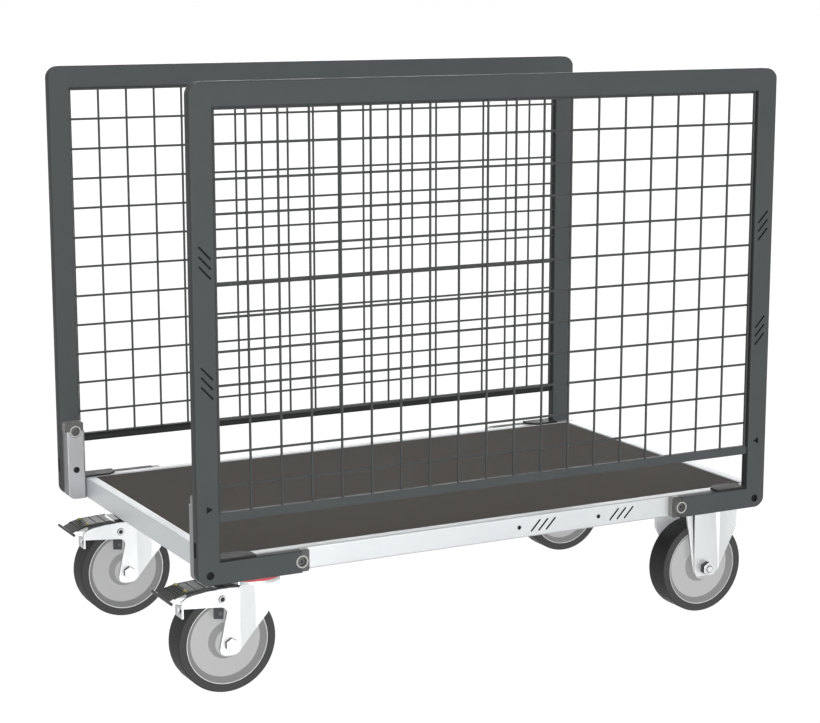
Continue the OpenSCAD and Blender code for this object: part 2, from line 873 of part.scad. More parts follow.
// Pedal: cap on the lever's bridge with a wide bar at its rear end
module brake_pedal() {
  plate_xz(-cheek_out, cheek_out)
    polygon([
      [-16, bridge_high], [-16, bridge_high + 2], [-24, bridge_high + 5.5], [-66, bridge_high + 3],
      [-80, bridge_high - 0.5], [bar_depth - pedal_reach, bar_high], [bar_depth - pedal_reach, bar_low],
      [-80, bridge_high - 4], [-70, bridge_high - 1], [-66, bridge_high],
    ]);
  box([-pedal_reach, -pedal_bar_width / 2, bar_low],
    [bar_depth - pedal_reach, pedal_bar_width / 2, bar_high]);
}

module brake_pins() {
  for (side = [-1, 1]) {
    y0 = side < 0 ? -fork_out : cheek_in;
    y1 = side < 0 ? -cheek_in : fork_out;
    pin_y(-pin_back, pin_z, y0, y1, pin_radius);
    h0 = side < 0 ? -fork_out - pin_head_height : fork_out;
    pin_y(-pin_back, pin_z, h0, h0 + pin_head_height, pin_head_radius);
  }
}

// Places
module at_rear_axle(side) {
  translate([rear_axle_x, side * caster_y, 0]) children();
}

module at_front_axle(side) {
  translate([front_axle_x, side * caster_y, 0]) children();
}

// Sub-parts

module rear_end_rail() {
  color(zinc_color) end_rail(platform_rear);
}

module front_end_rail() {
  color(zinc_color) end_rail(platform_front - rail_width);
}

module right_side_rail() {
  color(white_color) side_rail();
}

module left_side_rail() {
  color(white_color) on_side(true) side_rail();
}

module cross_channels() {
  color(zinc_color) {
    channel((swivel_x + front_axle_x) / 2);
    for (x = [swivel_x, front_axle_x]) {
      difference() {
        channel(x);
        bolt_rows(x, platform_bottom - cut, platform_bottom + channel_wall + cut);
      }
    }
  }
}

module deck_board() {
  color(deck_color) box([deck_rear, -deck_half_width, deck_bottom], [deck_front, deck_half_width, deck_top]);
}

module right_corner_socket() {
  color(zinc_color) corner_socket();
}

module left_corner_socket() {
  color(zinc_color) on_side(true) corner_socket();
}

module hook_plates() {
  color(frame_color)
    for (left = [false, true], front = [false, true]) {
      on_side(left) on_end(front) hook_plate();
    }
}

module tube_connectors() {
  color(cast_color) {
    for (left = [false, true], front = [false, true]) {
      on_side(left) on_end(front) at_foot() connector(rail_height, tube_depth);
    }
    for (left = [false, true]) {
      on_side(left) at_socket() connector(socket_width, socket_depth);
    }
  }
}

module connector_screws() {
  color(black_color) {
    for (left = [false, true], front = [false, true]) {
      on_side(left) on_end(front) at_foot() screw(tube_depth);
    }
    for (left = [false, true]) {
      on_side(left) at_socket() screw(socket_depth);
    }
  }
}

module right_rear_post() {
  color(frame_color) on_end(false) post();
}

module right_front_post() {
  color(frame_color) on_end(true) post();
}

module right_top_bar() {
  color(frame_color) on_end(false) top_bar();
}

module right_lower_rail() {
  color(frame_color) on_end(false) lower_rail();
}

module right_rear_foot() {
  color(frame_color) on_end(false) foot();
}

module right_front_foot() {
  color(frame_color) on_end(true) foot();
}

module right_mesh() {
  color(frame_color) on_end(false) mesh();
}

module left_rear_post() {
  color(frame_color) on_side(true) on_end(false) post();
}

module left_front_post() {
  color(frame_color) on_side(true) on_end(true) post();
}

module left_top_bar() {
  color(frame_color) on_side(true) on_end(false) top_bar();
}

module left_lower_rail() {
  color(frame_color) on_side(true) on_end(false) lower_rail();
}

module left_rear_foot() {
  color(frame_color) on_side(true) on_end(false) foot();
}

module left_front_foot() {
  color(frame_color) on_side(true) on_end(true) foot();
}

module left_mesh() {
  color(frame_color) on_side(true) on_end(false) mesh();
}

module caster_top_plates() {
  color(zinc_color)
    for (side = [-1, 1]) {
      translate([swivel_x, side * caster_y, 0]) swivel_plate();
      at_front_axle(side) top_plate();
    }
}

module caster_bolts() {
  color(cast_color)
    for (x = [swivel_x, front_axle_x], side = [-1, 1], i = [-1, 1], j = [-1, 1]) {
      translate([x + i * bolt_spacing_x / 2, side * caster_y + j * bolt_spacing_y / 2, 0]) caster_bolt();
    }
}

module swivel_seals() {
  color(red_color)
    for (side = [-1, 1]) {
      translate([swivel_x, side * caster_y, 0]) seal_ring();
    }
}

module king_bolts() {
  color(cast_color)
    for (side = [-1, 1]) {
      translate([swivel_x, side * caster_y, 0]) king_bolt();
    }
}

module right_fixed_fork() {
  color(zinc_color) at_front_axle(-1) fixed_fork();
}

module left_fixed_fork() {
  color(zinc_color) at_front_axle(1) fixed_fork();
}

module fixed_axle_bolts() {
  color(cast_color)
    for (side = [-1, 1]) {
      at_front_axle(side) axle_bolt(fixed_half, true);
    }
}

module fixed_axle_nuts() {
  color(cast_color)
    for (side = [-1, 1]) {
      at_front_axle(side) axle_nut(fixed_half, true);
    }
}

module fixed_sleeves() {
  color(cast_color)
    for (side = [-1, 1]) {
      at_front_axle(side) sleeve(fixed_in);
    }
}

module right_front_tyre() {
  color(rubber_color) at_front_axle(-1) tyre();
}

module right_front_rim() {
  color(rim_color) at_front_axle(-1) rim();
}

module left_front_tyre() {
  color(rubber_color) at_front_axle(1) tyre();
}

module left_front_rim() {
  color(rim_color) at_front_axle(1) rim();
}

module right_swivel_fork() {
  color(zinc_color) at_rear_axle(-1) swivel_fork();
}

module left_swivel_fork() {
  color(zinc_color) at_rear_axle(1) swivel_fork();
}

module right_rear_axle_bolt() {
  color(cast_color) at_rear_axle(-1) axle_bolt(fork_out, false);
}

module left_rear_axle_bolt() {
  color(cast_color) at_rear_axle(1) axle_bolt(fork_out, false);
}

module right_rear_axle_nut() {
  color(cast_color) at_rear_axle(-1) axle_nut(fork_out, false);
}

module left_rear_axle_nut() {
  color(cast_color) at_rear_axle(1) axle_nut(fork_out, false);
}

module right_rear_sleeve() {
  color(cast_color) at_rear_axle(-1) sleeve(fork_in);
}

module left_rear_sleeve() {
  color(cast_color) at_rear_axle(1) sleeve(fork_in);
}

module right_brake_pins() {
  color(cast_color) at_rear_axle(-1) brake_pins();
}

module left_brake_pins() {
  color(cast_color) at_rear_axle(1) brake_pins();
}

module right_rear_tyre() {
  color(rubber_color) at_rear_axle(-1) tyre();
}

module right_rear_rim() {
  color(rim_color) at_rear_axle(-1) rim();
}

module left_rear_tyre() {
  color(rubber_color) at_rear_axle(1) tyre();
}

module left_rear_rim() {
  color(rim_color) at_rear_axle(1) rim();
}

module right_brake_lever() {
  color(cast_color) at_rear_axle(-1) brake_lever();
}

module left_brake_lever() {
  color(cast_color) at_rear_axle(1) brake_lever();
}

module right_brake_pedal() {
  color(black_color) at_rear_axle(-1) brake_pedal();
}

module left_brake_pedal() {
  color(black_color) at_rear_axle(1) brake_pedal();
}

rear_end_rail();
front_end_rail();
right_side_rail();
left_side_rail();
cross_channels();
deck_board();
right_corner_socket();
left_corner_socket();
hook_plates();
tube_connectors();
connector_screws();
right_rear_post();
right_front_post();
right_top_bar();
right_lower_rail();
right_rear_foot();
right_front_foot();
right_mesh();
left_rear_post();
left_front_post();
left_top_bar();
left_lower_rail();
left_rear_foot();
left_front_foot();
left_mesh();
caster_top_plates();
caster_bolts();
swivel_seals();
king_bolts();
right_fixed_fork();
left_fixed_fork();
fixed_axle_bolts();
fixed_axle_nuts();
fixed_sleeves();
right_front_tyre();
right_front_rim();
left_front_tyre();
left_front_rim();
right_swivel_fork();
left_swivel_fork();
right_rear_axle_bolt();
left_rear_axle_bolt();
right_rear_axle_nut();
left_rear_axle_nut();
right_rear_sleeve();
left_rear_sleeve();
right_brake_pins();
left_brake_pins();
right_rear_tyre();
right_rear_rim();
left_rear_tyre();
left_rear_rim();
right_brake_lever();
left_brake_lever();
right_brake_pedal();
left_brake_pedal();
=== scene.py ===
"""Looks of a platform truck with two wire-mesh sides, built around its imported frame."""

import math

import bmesh
import bpy
from bpy.props import FloatProperty, FloatVectorProperty, PointerProperty
from mathutils import Matrix, Vector
from mathutils.bvhtree import BVHTree


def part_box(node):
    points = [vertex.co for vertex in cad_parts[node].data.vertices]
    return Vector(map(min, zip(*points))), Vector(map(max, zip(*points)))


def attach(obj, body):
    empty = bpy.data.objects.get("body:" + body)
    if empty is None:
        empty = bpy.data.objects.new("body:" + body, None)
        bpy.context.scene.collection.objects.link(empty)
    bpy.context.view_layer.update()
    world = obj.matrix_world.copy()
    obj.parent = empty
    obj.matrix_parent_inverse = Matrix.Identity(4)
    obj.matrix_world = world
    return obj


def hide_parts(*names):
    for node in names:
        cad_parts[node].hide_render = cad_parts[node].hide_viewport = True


bl_info = {
    "name": "Mesh-sided platform truck",
    "version": (1, 0, 0),
    "blender": (4, 5, 0),
    "location": "3D View > Sidebar > Truck",
    "description": "Finishes a platform truck with two mesh sides",
    "category": "Object",
}

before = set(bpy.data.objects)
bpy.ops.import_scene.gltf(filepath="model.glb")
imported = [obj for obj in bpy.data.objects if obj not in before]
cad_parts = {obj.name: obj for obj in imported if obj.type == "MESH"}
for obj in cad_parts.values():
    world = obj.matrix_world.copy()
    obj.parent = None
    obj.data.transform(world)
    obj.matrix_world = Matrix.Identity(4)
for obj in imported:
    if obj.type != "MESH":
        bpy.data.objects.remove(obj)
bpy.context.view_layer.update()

SIDES = ("right", "left")
ENDS = ("rear", "front")
MM = 0.001
WHITE = (1.0, 1.0, 1.0, 1.0)

# Sizes are in millimetres, and places on a caster are from the middle of its wheel

# Rails and tubes: rim and depth of the lower rails' channel, and how far a hollow's own wall may lie
RAIL_LIP = 1.2
CHANNEL_DEPTH = 4.0
TUBE_REACH = 60.0
RING_REACH = 12.7

# Wheels
TREAD_RADIUS = 80.0
TYRE_HALF = 22.5
RIM_RADIUS = 67.0
RIM_HALF = 21.1
FLANK_RADIUS = 65.4
FLANK_HALF = 19.3
WEB_RADIUS = 57.6
WEB_HALF = 12.4
BOSS_FOOT = 28.5
BOSS_TOP = 22.0
HUB_HALF = 26.0
BORE_RADIUS = 8.1
WHEEL_STEPS = 112
WHEEL_CREASE = 25.0

# Forks: half widths over the axle, half widths that tell flanges and outer sheets, the swivel forks'
# grooves (place of the fold, height of its foot, half width at the top, depth) and the dark block
# under their crown (two corners), which paints the shade in the gap between the legs
SWIVEL_HALF = 33.0
FIXED_HALF = 32.5
FIXED_FLANGE = 31.2
SWIVEL_SHEET = 28.0
SWIVEL_GROOVES = ((17.5, 32.0, 4.0, 3.0), (46.0, 25.0, 7.0, 3.0))
CROWN_SHADE_BLOCK = ((-3.0, -26.0, 84.5), (19.0, 26.0, 89.6))

# Seal rings
SEAL_RADIUS = 46.9
SEAL_BORE = 37.0

# Axle bolts and nuts
AXLE_RADIUS = 5.3
AXLE_CHAMFER = 0.8
HEAD_RADIUS = 10.4
HEAD_HEIGHT = 7.0
NUT_RADIUS = 12.0
NUT_HEIGHT = 12.0
COLLAR_HEIGHT = 1.0
COLLAR_RADIUS = 8.2
COLLAR_BORE = 6.0
END_HEIGHT = 1.5
BOLT_STEPS = 32

# Brake levers: inner and outer faces of the edge flanges, place of the shoe, from which its side block
# (two corners seen from the side) and bolt are placed, and place of the pins
FLANGE_SIDE = (26.4, 28.4)
SHOE_PLACE = (-16.5, 0.0, 50.5)
SHOE_SIDE = (27.6, 28.9)
SHOE_BLOCK = ((-1.8, -8.4), (7.4, 3.4))
SHOE_BOLT_PLACE = (2.8, 0.0, -2.5)
SHOE_BOLT_SIDE = (28.5, 28.95)
SHOE_BOLT_RADIUS = 3.2
PIN_PLACE = (-12.5, 0.0, 72.0)
PIN_HEAD_RADIUS = 5.4

# Pedals: the pads' ends and thickness, the slopes that pads and treads follow (place, height, rise for
# each millimetre), the treads' places, half widths, and the places of the yellow heads and the rod
PADS = ((-24.5, -35), (-37, -50), (-52, -64.5))
PAD_THICKNESS = 1.6
FRONT_SLOPE = (-24.0, 91.5, 0.06)
REAR_SLOPE = (-66.0, 88.4, 0.24)
TREADS = (-68, -72, -76, -80)
CAP_HALF = 25.5
CAP_RIM_SIDE = (23.7, 25.5)
TREAD_HALF = 24.5
TONGUE_HALF = 23.5
PAD_HALF = 21.5
HEAD_SIDE = 19.0
HEAD_BACK = 66.5
ROD_PLACE = (-96.6, 0.0, 77.6)
ROD_HALF = 40.0
ROD_RADIUS = 2.3

# Studio, in metres: directions that the light travels in, the lamps' spread in degrees, the floor, and
# the camera's place, tilt and turn in radians, sensor and shift
FRONT_RAYS = (0.04, 0.99, -0.06)
BACK_RAYS = (-0.45, -0.88, 0.15)
LAMP_SPREAD = 40.0
HAZE_EDGE = 0.4
FLOOR_HALF = 60.0
FLOOR_GLOW = 0.96
CAMERA_PLACE = (-1.5961, -3.03135, 1.0656)
CAMERA_TILT = math.radians(90.0) - 0.1900
CAMERA_TURN = -0.4909
CAMERA_SHIFT = (-0.00823, 0.0218)
SENSOR_WIDTH = 36.0
CLIP_END = 200.0


# Colours and sizes that a user may change


def colour(name, description, value):
    """A colour property."""
    return FloatVectorProperty(
        name=name, description=description, default=value, size=3, min=0.0, max=1.0, subtype="COLOR"
    )


def brightness(name, description, value, highest=20.0):
    """A strength of light."""
    return FloatProperty(name=name, description=description, default=value, min=0.0, max=highest)


class TruckPaints(bpy.types.PropertyGroup):
    """Colours of the truck's finishes."""

    panel: colour("Panel paint", "Powder coat of the panel tubes", (0.051, 0.056, 0.057))
    wire: colour("Wire paint", "Powder coat of the mesh wires", (0.050, 0.053, 0.053))
    zinc: colour("Fork zinc", "Forks, plates and small steel parts", (0.57, 0.584, 0.59))
    # Painted light: the end and side rails use a lighter and a darker copy of the zinc, set for how the
    # lamps light their faces
    rail: colour("End rail zinc", "Rails across the platform's ends", (0.64, 0.664, 0.674))
    edge: colour("Side rail zinc", "Rails along the platform's sides", (0.48, 0.495, 0.503))
    # Painted shade: the sockets' zinc is darkened for the shade they stand in
    socket: colour("Socket zinc", "Upright corner sockets", (0.26, 0.263, 0.272))
    deck: colour("Deck film", "Coating of the deck board", (0.11, 0.10, 0.092))
    # Painted shade: a darker copy of the panel paint for the lower rails' channel
    shade: colour("Channel paint", "Inner faces of the lower rails", (0.017, 0.0175, 0.0175))
    # The hook plates' own dark paint, darkened further as painted shade
    hook: colour("Hook plates", "Dark plates over the side rails", (0.024, 0.025, 0.024))
    casting: colour("Connectors", "Cast connectors", (0.31, 0.31, 0.30))
    tyre: colour("Tyre", "Rubber of the tyres", (0.038, 0.038, 0.038))
    rim: colour("Rim", "Wheel rims", (0.36, 0.36, 0.36))
    # Painted shade: a darker copy of the rim grey for the slope inside the lip
    flank: colour("Rim flank", "Turned slope inside the rims' lip", (0.215, 0.215, 0.215))
    # Painted highlight: a lighter ring at the rims' edge
    lip: colour("Rim lip", "Highlit ring at the rims' edge", (0.60, 0.60, 0.60))
    # Painted highlight: a lighter copy of the fork zinc for facets that catch the light
    painted_highlight: colour("Bright zinc", "Highlighted facets of the forks", (0.86, 0.88, 0.90))
    # Painted shade: a darker copy of the fork zinc for the left swivel fork's groove facets
    crease: colour("Creases", "Shadowed facets of the forks", (0.10, 0.105, 0.11))
    seal: colour("Seal", "Swivel head seals", (0.52, 0.085, 0.10))
    pedal: colour("Pedal", "Brake pedals", (0.012, 0.014, 0.011))
    pad: colour("Pedal pads", "Worn top faces of the brake pedals", (0.13, 0.135, 0.125))
    lever: colour("Lever steel", "Dark steel of the brake levers", (0.030, 0.032, 0.034))
    # The screw heads' own dark grey, also used on the connectors' bores as painted shade
    screw: colour("Screws", "Heads of the connectors' screws", (0.075, 0.075, 0.075))
    # Painted shade: a darker zinc for the flats of bolts and nuts and the levers' edge flanges
    flat: colour("Bolt flats", "Side faces of bolts and nuts", (0.045, 0.048, 0.050))
    # Painted shade: the dark finish stands for the shade in recesses, holes and gaps
    dark: colour("Dark steel", "Recesses and gaps", (0.014, 0.015, 0.016))
    passivated: colour("Passivated zinc", "Yellow small parts of the pedals", (0.26, 0.25, 0.09))


class TruckStudio(bpy.types.PropertyGroup):
    """Light and camera of the studio."""

    key_power: brightness("Key light", "Strength of the soft light from the front", 0.8)
    fill_power: brightness("Front fill", "Strength of the even light from the front", 2.3)
    back_power: brightness("Back fill", "Strength of the even light from behind", 2.2)
    ambient: brightness("Ambient", "Strength of the even light all round", 0.45, highest=5.0)
    haze: brightness("Haze", "Brightness that gloss shows away from the front", 0.9, highest=5.0)
    lens: FloatProperty(
        name="Lens",
        description="Focal length of the camera",
        default=90.48,
        min=10.0,
        subtype="DISTANCE_CAMERA",
    )


# Node helpers


def link(tree, source, target):
    """Joins two sockets."""
    tree.links.new(source, target)


def group(name, inputs, outputs, build):
    """A shader node group with named sockets, built once."""
    found = bpy.data.node_groups.get(name)
    if found:
        return found
    tree = bpy.data.node_groups.new(name, "ShaderNodeTree")
    for label, kind, value in inputs:
        socket = tree.interface.new_socket(label, in_out="INPUT", socket_type=kind)
        if value is not None:
            socket.default_value = value
    for label, kind in outputs:
        tree.interface.new_socket(label, in_out="OUTPUT", socket_type=kind)
    build(tree, tree.nodes.new("NodeGroupInput"), tree.nodes.new("NodeGroupOutput"))
    return tree


def feed(tree, value, socket):
    """Puts a number on a socket, or links another socket to it."""
    if isinstance(value, (int, float)):
        socket.default_value = value
    else:
        link(tree, value, socket)


def maths(tree, operation, a, b=None, c=None, clamp=False):
    """A Math node whose inputs are sockets or numbers."""
    node = tree.nodes.new("ShaderNodeMath")
    node.operation = operation
    node.use_clamp = clamp
    for socket, value in zip(node.inputs, (a, b, c)):
        if value is not None:
            feed(tree, value, socket)
    return node.outputs[0]


def weighted(tree, *parts):
    """The sum of some values, each times its share."""
    total = 0.0
    for value, share in parts:
        total = maths(tree, "MULTIPLY_ADD", value, share, total)
    return total


def noise(tree, vector, scale, detail, rough):
    """A Noise texture's value; scale is a number or a socket."""
    node = tree.nodes.new("ShaderNodeTexNoise")
    node.inputs["Detail"].default_value = detail
    node.inputs["Roughness"].default_value = rough
    feed(tree, scale, node.inputs["Scale"])
    link(tree, vector, node.inputs["Vector"])
    return node.outputs[0]


def mapped(tree, vector, factors=(1.0, 1.0, 1.0), turn=0.0):
    """Coordinates scaled unevenly, for drawn or brushed grain, or turned about Z by degrees."""
    node = tree.nodes.new("ShaderNodeMapping")
    node.inputs["Scale"].default_value = factors
    node.inputs["Rotation"].default_value = (0.0, 0.0, math.radians(turn))
    link(tree, vector, node.inputs["Vector"])
    return node.outputs[0]


def varied(tree, base, amount, value):
    """A colour made lighter and darker by a value round 0.5."""
    shift = maths(tree, "MULTIPLY_ADD", maths(tree, "SUBTRACT", value, 0.5), amount, 1.0)
    node = tree.nodes.new("ShaderNodeVectorMath")
    node.operation = "SCALE"
    link(tree, base, node.inputs[0])
    link(tree, shift, node.inputs["Scale"])
    return node.outputs[0]


def bump(tree, height, strength, distance):
    """A Bump node's normal."""
    node = tree.nodes.new("ShaderNodeBump")
    node.inputs["Distance"].default_value = distance
    link(tree, strength, node.inputs["Strength"])
    link(tree, height, node.inputs["Height"])
    return node.outputs[0]


def put_out(tree, source, sink, shade, wear, spread, height, depth):
    """Sends out a surface's mottled colour, its clouded roughness and its relief."""
    given = source.outputs
    link(tree, varied(tree, given["Color"], given["Variation"], shade), sink.inputs["Color"])
    gloss = maths(tree, "MULTIPLY_ADD", maths(tree, "SUBTRACT", wear, 0.5), spread, given["Roughness"], True)
    link(tree, gloss, sink.inputs["Roughness"])
    link(tree, bump(tree, height, given["Strength"], depth * MM), sink.inputs["Normal"])


SURFACE_IN = [
    ("Vector", "NodeSocketVector", None),
    ("Color", "NodeSocketColor", (0.5, 0.5, 0.5, 1.0)),
    ("Scale", "NodeSocketFloat", 400.0),
    ("Variation", "NodeSocketFloat", 0.2),
    ("Roughness", "NodeSocketFloat", 0.5),
    ("Strength", "NodeSocketFloat", 0.3),
]
SURFACE_OUT = [
    ("Color", "NodeSocketColor"),
    ("Roughness", "NodeSocketFloat"),
    ("Normal", "NodeSocketVector"),
]


def build_peel(tree, source, sink):
    """Powder coat: fine orange peel, cloudy gloss and specks of dust."""
    vector, scale = source.outputs["Vector"], source.outputs["Scale"]
    fine = noise(tree, vector, scale, detail=2.0, rough=0.55)
    cloud = noise(tree, vector, 9.0, detail=4.0, rough=0.6)
    speck = noise(tree, vector, maths(tree, "MULTIPLY", scale, 2.3), detail=1.0, rough=0.4)
    mottle = weighted(tree, (cloud, 0.65), (speck, 0.35))
    put_out(tree, source, sink, mottle, cloud, spread=0.35, height=fine, depth=0.4)


def build_zinc(tree, source, sink):
    """Zinc coat: soft spangle, long rolling marks and clouded gloss."""
    vector = source.outputs["Vector"]
    cells = tree.nodes.new("ShaderNodeTexVoronoi")
    cells.inputs["Scale"].default_value = 1.0
    link(tree, mapped(tree, vector, (120.0, 120.0, 120.0)), cells.inputs["Vector"])
    spangle = tree.nodes.new("ShaderNodeSeparateColor")
    link(tree, cells.outputs["Color"], spangle.inputs[0])
    rolling = noise(tree, mapped(tree, vector, (6.0, 420.0, 420.0)), 1.0, detail=3.0, rough=0.6)
    cloud = noise(tree, vector, 14.0, detail=4.0, rough=0.6)
    mottle = weighted(tree, (spangle.outputs[0], 0.25), (rolling, 0.35), (cloud, 0.4))
    fine = noise(tree, vector, source.outputs["Scale"], detail=2.0, rough=0.6)
    put_out(tree, source, sink, mottle, mottle, spread=0.15, height=fine, depth=0.2)


def build_cast(tree, source, sink):
    """Cast metal and moulded rubber: grainy skin with darker pits."""
    vector, scale = source.outputs["Vector"], source.outputs["Scale"]
    fine = noise(tree, vector, scale, detail=3.0, rough=0.6)
    pits = noise(tree, vector, maths(tree, "MULTIPLY", scale, 0.3), detail=3.0, rough=0.6)
    mottle = weighted(tree, (fine, 0.45), (pits, 0.55))
    put_out(tree, source, sink, mottle, pits, spread=0.4, height=fine, depth=0.4)


def build_film(tree, source, sink):
    """Film-faced board: a fine pressed mesh, scuffed lengthwise."""
    vector = source.outputs["Vector"]
    waves = []
    for turn in (45.0, -45.0):
        wave = tree.nodes.new("ShaderNodeTexWave")
        link(tree, source.outputs["Scale"], wave.inputs["Scale"])
        link(tree, mapped(tree, vector, turn=turn), wave.inputs["Vector"])
        waves.append(wave.outputs["Fac"])
    grid = maths(tree, "MAXIMUM", *waves)
    scuff = noise(tree, mapped(tree, vector, (3.0, 26.0, 3.0)), 1.0, detail=5.0, rough=0.65)
    cloud = noise(tree, vector, 6.0, detail=4.0, rough=0.6)
    mottle = weighted(tree, (scuff, 0.5), (cloud, 0.5))
    put_out(tree, source, sink, mottle, mottle, spread=0.4, height=grid, depth=0.3)


BUILDERS = {"peel": build_peel, "zinc": build_zinc, "cast": build_cast, "film": build_film}

# Surface kind, scale, variation, roughness, bump strength, metallic, specular
FINISHES = {
    "panel": ("peel", 900.0, 0.5, 0.5, 0.35, 0.0, 0.15),
    "wire": ("peel", 1500.0, 0.5, 0.5, 0.25, 0.0, 0.15),
    "zinc": ("zinc", 900.0, 0.06, 0.42, 0.12, 0.85, 0.5),
    "rail": ("zinc", 900.0, 0.06, 0.42, 0.12, 0.85, 0.5),
    "edge": ("zinc", 900.0, 0.06, 0.42, 0.12, 0.85, 0.5),
    "socket": ("zinc", 900.0, 0.08, 0.42, 0.12, 0.85, 0.5),
    "deck": ("film", 260.0, 0.5, 0.7, 0.5, 0.0, 0.02),
    "shade": ("peel", 900.0, 0.5, 0.5, 0.35, 0.0, 0.1),
    "hook": ("peel", 900.0, 0.6, 0.5, 0.35, 0.0, 0.1),
    "casting": ("cast", 1100.0, 0.4, 0.5, 0.35, 0.3, 0.4),
    "tyre": ("cast", 900.0, 0.35, 0.62, 0.3, 0.0, 0.2),
    "rim": ("cast", 1100.0, 0.14, 0.45, 0.15, 0.0, 0.3),
    "flank": ("cast", 1100.0, 0.14, 0.45, 0.15, 0.0, 0.3),
    "lip": ("zinc", 1500.0, 0.1, 0.35, 0.1, 0.5, 0.5),
    "painted_highlight": ("zinc", 900.0, 0.06, 0.35, 0.1, 0.6, 0.5),
    "crease": ("zinc", 900.0, 0.3, 0.42, 0.12, 0.6, 0.4),
    "seal": ("cast", 900.0, 0.25, 0.5, 0.2, 0.0, 0.4),
    "pedal": ("peel", 900.0, 0.5, 0.38, 0.3, 0.0, 0.4),
    "pad": ("cast", 700.0, 0.6, 0.4, 0.3, 0.4, 0.5),
    "lever": ("cast", 900.0, 0.5, 0.4, 0.2, 0.5, 0.5),
    "screw": ("cast", 1500.0, 0.3, 0.4, 0.2, 0.5, 0.4),
    "flat": ("cast", 1500.0, 0.3, 0.4, 0.2, 0.4, 0.4),
    "dark": ("cast", 1500.0, 0.4, 0.5, 0.2, 0.0, 0.2),
    "passivated": ("zinc", 1500.0, 0.3, 0.4, 0.2, 0.6, 0.5),
}


def finish(key):
    """A material: one surface group feeding a Principled shader in Object coordinates."""
    name = "Truck " + key
    found = bpy.data.materials.get(name)
    if found:
        return found
    kind, scale, variation, rough, strength, metallic, specular = FINISHES[key]
    base = (*getattr(bpy.context.scene.truck_paints, key), 1.0)
    material = bpy.data.materials.new(name)
    material.use_nodes = True
    tree = material.node_tree
    tree.nodes.clear()
    place = tree.nodes.new("ShaderNodeTexCoord")
    surface = tree.nodes.new("ShaderNodeGroup")
    surface.node_tree = group("Surface " + kind, SURFACE_IN, SURFACE_OUT, BUILDERS[kind])
    surface.inputs["Color"].default_value = base
    surface.inputs["Scale"].default_value = scale
    surface.inputs["Variation"].default_value = variation
    surface.inputs["Roughness"].default_value = rough
    surface.inputs["Strength"].default_value = strength
    shader = tree.nodes.new("ShaderNodeBsdfPrincipled")
    shader.inputs["Metallic"].default_value = metallic
    shader.inputs["Specular IOR Level"].default_value = specular
    output = tree.nodes.new("ShaderNodeOutputMaterial")
    link(tree, place.outputs["Object"], surface.inputs["Vector"])
    link(tree, surface.outputs["Color"], shader.inputs["Base Color"])
    link(tree, surface.outputs["Roughness"], shader.inputs["Roughness"])
    link(tree, surface.outputs["Normal"], shader.inputs["Normal"])
    link(tree, shader.outputs["BSDF"], output.inputs["Surface"])
    material.diffuse_color = base
    return material


def dress(key, *nodes):
    """Gives frame nodes a finish."""
    for node in nodes:
        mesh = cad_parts[node].data
        mesh.materials.clear()
        mesh.materials.append(finish(key))


# Mesh helpers; lengths are in millimetres about a centre in metres


def centre(node):
    """Middle of a frame node's box."""
    low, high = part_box(node)
    return (Vector(low) + Vector(high)) / 2


def beside(middle, x, y, z):
    """A place some millimetres from another."""
    return middle + Vector((x, y, z)) * MM


def span(sign, near, far):
    """Low and high place of what lies between two distances on one side of the middle."""
    return sorted((sign * near, sign * far))


def facing(profile, sign):
    """A profile of (radius, place) pairs, or its mirror image."""
    return [(radius, sign * place) for radius, place in profile]


def on_slope(x, slope):
    """Height at a place on a slope of (place, height, rise for each millimetre)."""
    start, height, rise = slope
    return height + (x - start) * rise


def tag(faces, index):
    """Gives faces one of their piece's finishes."""
    for face in faces:
        face.material_index = index


def faces_of(verts):
    """All faces at some vertices."""
    return {face for vert in verts for face in vert.link_faces}


def edges_of(verts):
    """All edges at some vertices."""
    return list({edge for vert in verts for edge in vert.link_edges})


def soften(shape, edges, width):
    """Rounds edges in two steps."""
    bmesh.ops.bevel(
        shape,
        geom=edges,
        offset=width * MM,
        segments=2,
        profile=0.5,
        affect="EDGES",
        material=-1,
        clamp_overlap=True,
    )


def lathe(shape, middle, profile, axis="Y", steps=64, index=0, closed=True):
    """Spins a profile of (radius, place along the axis) pairs about an axis through the middle."""
    along = Vector((0.0, 1.0, 0.0)) if axis == "Y" else Vector((0.0, 0.0, 1.0))
    out = Vector((1.0, 0.0, 0.0))
    before = set(shape.faces)
    verts = [shape.verts.new(middle + out * radius * MM + along * place * MM) for radius, place in profile]
    pairs = zip(verts, verts[1:] + verts[:1]) if closed else zip(verts, verts[1:])
    edges = [shape.edges.new(pair) for pair in pairs]
    bmesh.ops.spin(
        shape, geom=verts + edges, cent=middle, axis=along, angle=math.tau, steps=steps, use_merge=True
    )
    tag(set(shape.faces) - before, index)


def hexagon(shape, middle, radius, low, high, width=0.7, side_index=0, end_index=0):
    """A hexagonal prism along Y with softened edges."""
    turn = Matrix.Rotation(math.radians(-90.0), 4, "X")
    place = Matrix.Translation(middle + Vector((0.0, (low + high) / 2 * MM, 0.0))) @ turn
    made = bmesh.ops.create_cone(
        shape,
        cap_ends=True,
        segments=6,
        radius1=radius * MM,
        radius2=radius * MM,
        depth=abs(high - low) * MM,
        matrix=place,
    )
    for face in faces_of(made["verts"]):
        face.normal_update()
        face.material_index = end_index if abs(face.normal.y) > 0.5 else side_index
    soften(shape, edges_of(made["verts"]), width)


def block(shape, middle, low, high, width=0.5, index=0):
    """A box between two corners with softened edges."""
    low, high = Vector(low) * MM, Vector(high) * MM
    place = Matrix.Translation(middle + (low + high) / 2) @ Matrix.Diagonal((*(high - low), 1.0))
    made = bmesh.ops.create_cube(shape, size=1.0, matrix=place)
    tag(faces_of(made["verts"]), index)
    soften(shape, edges_of(made["verts"]), width)


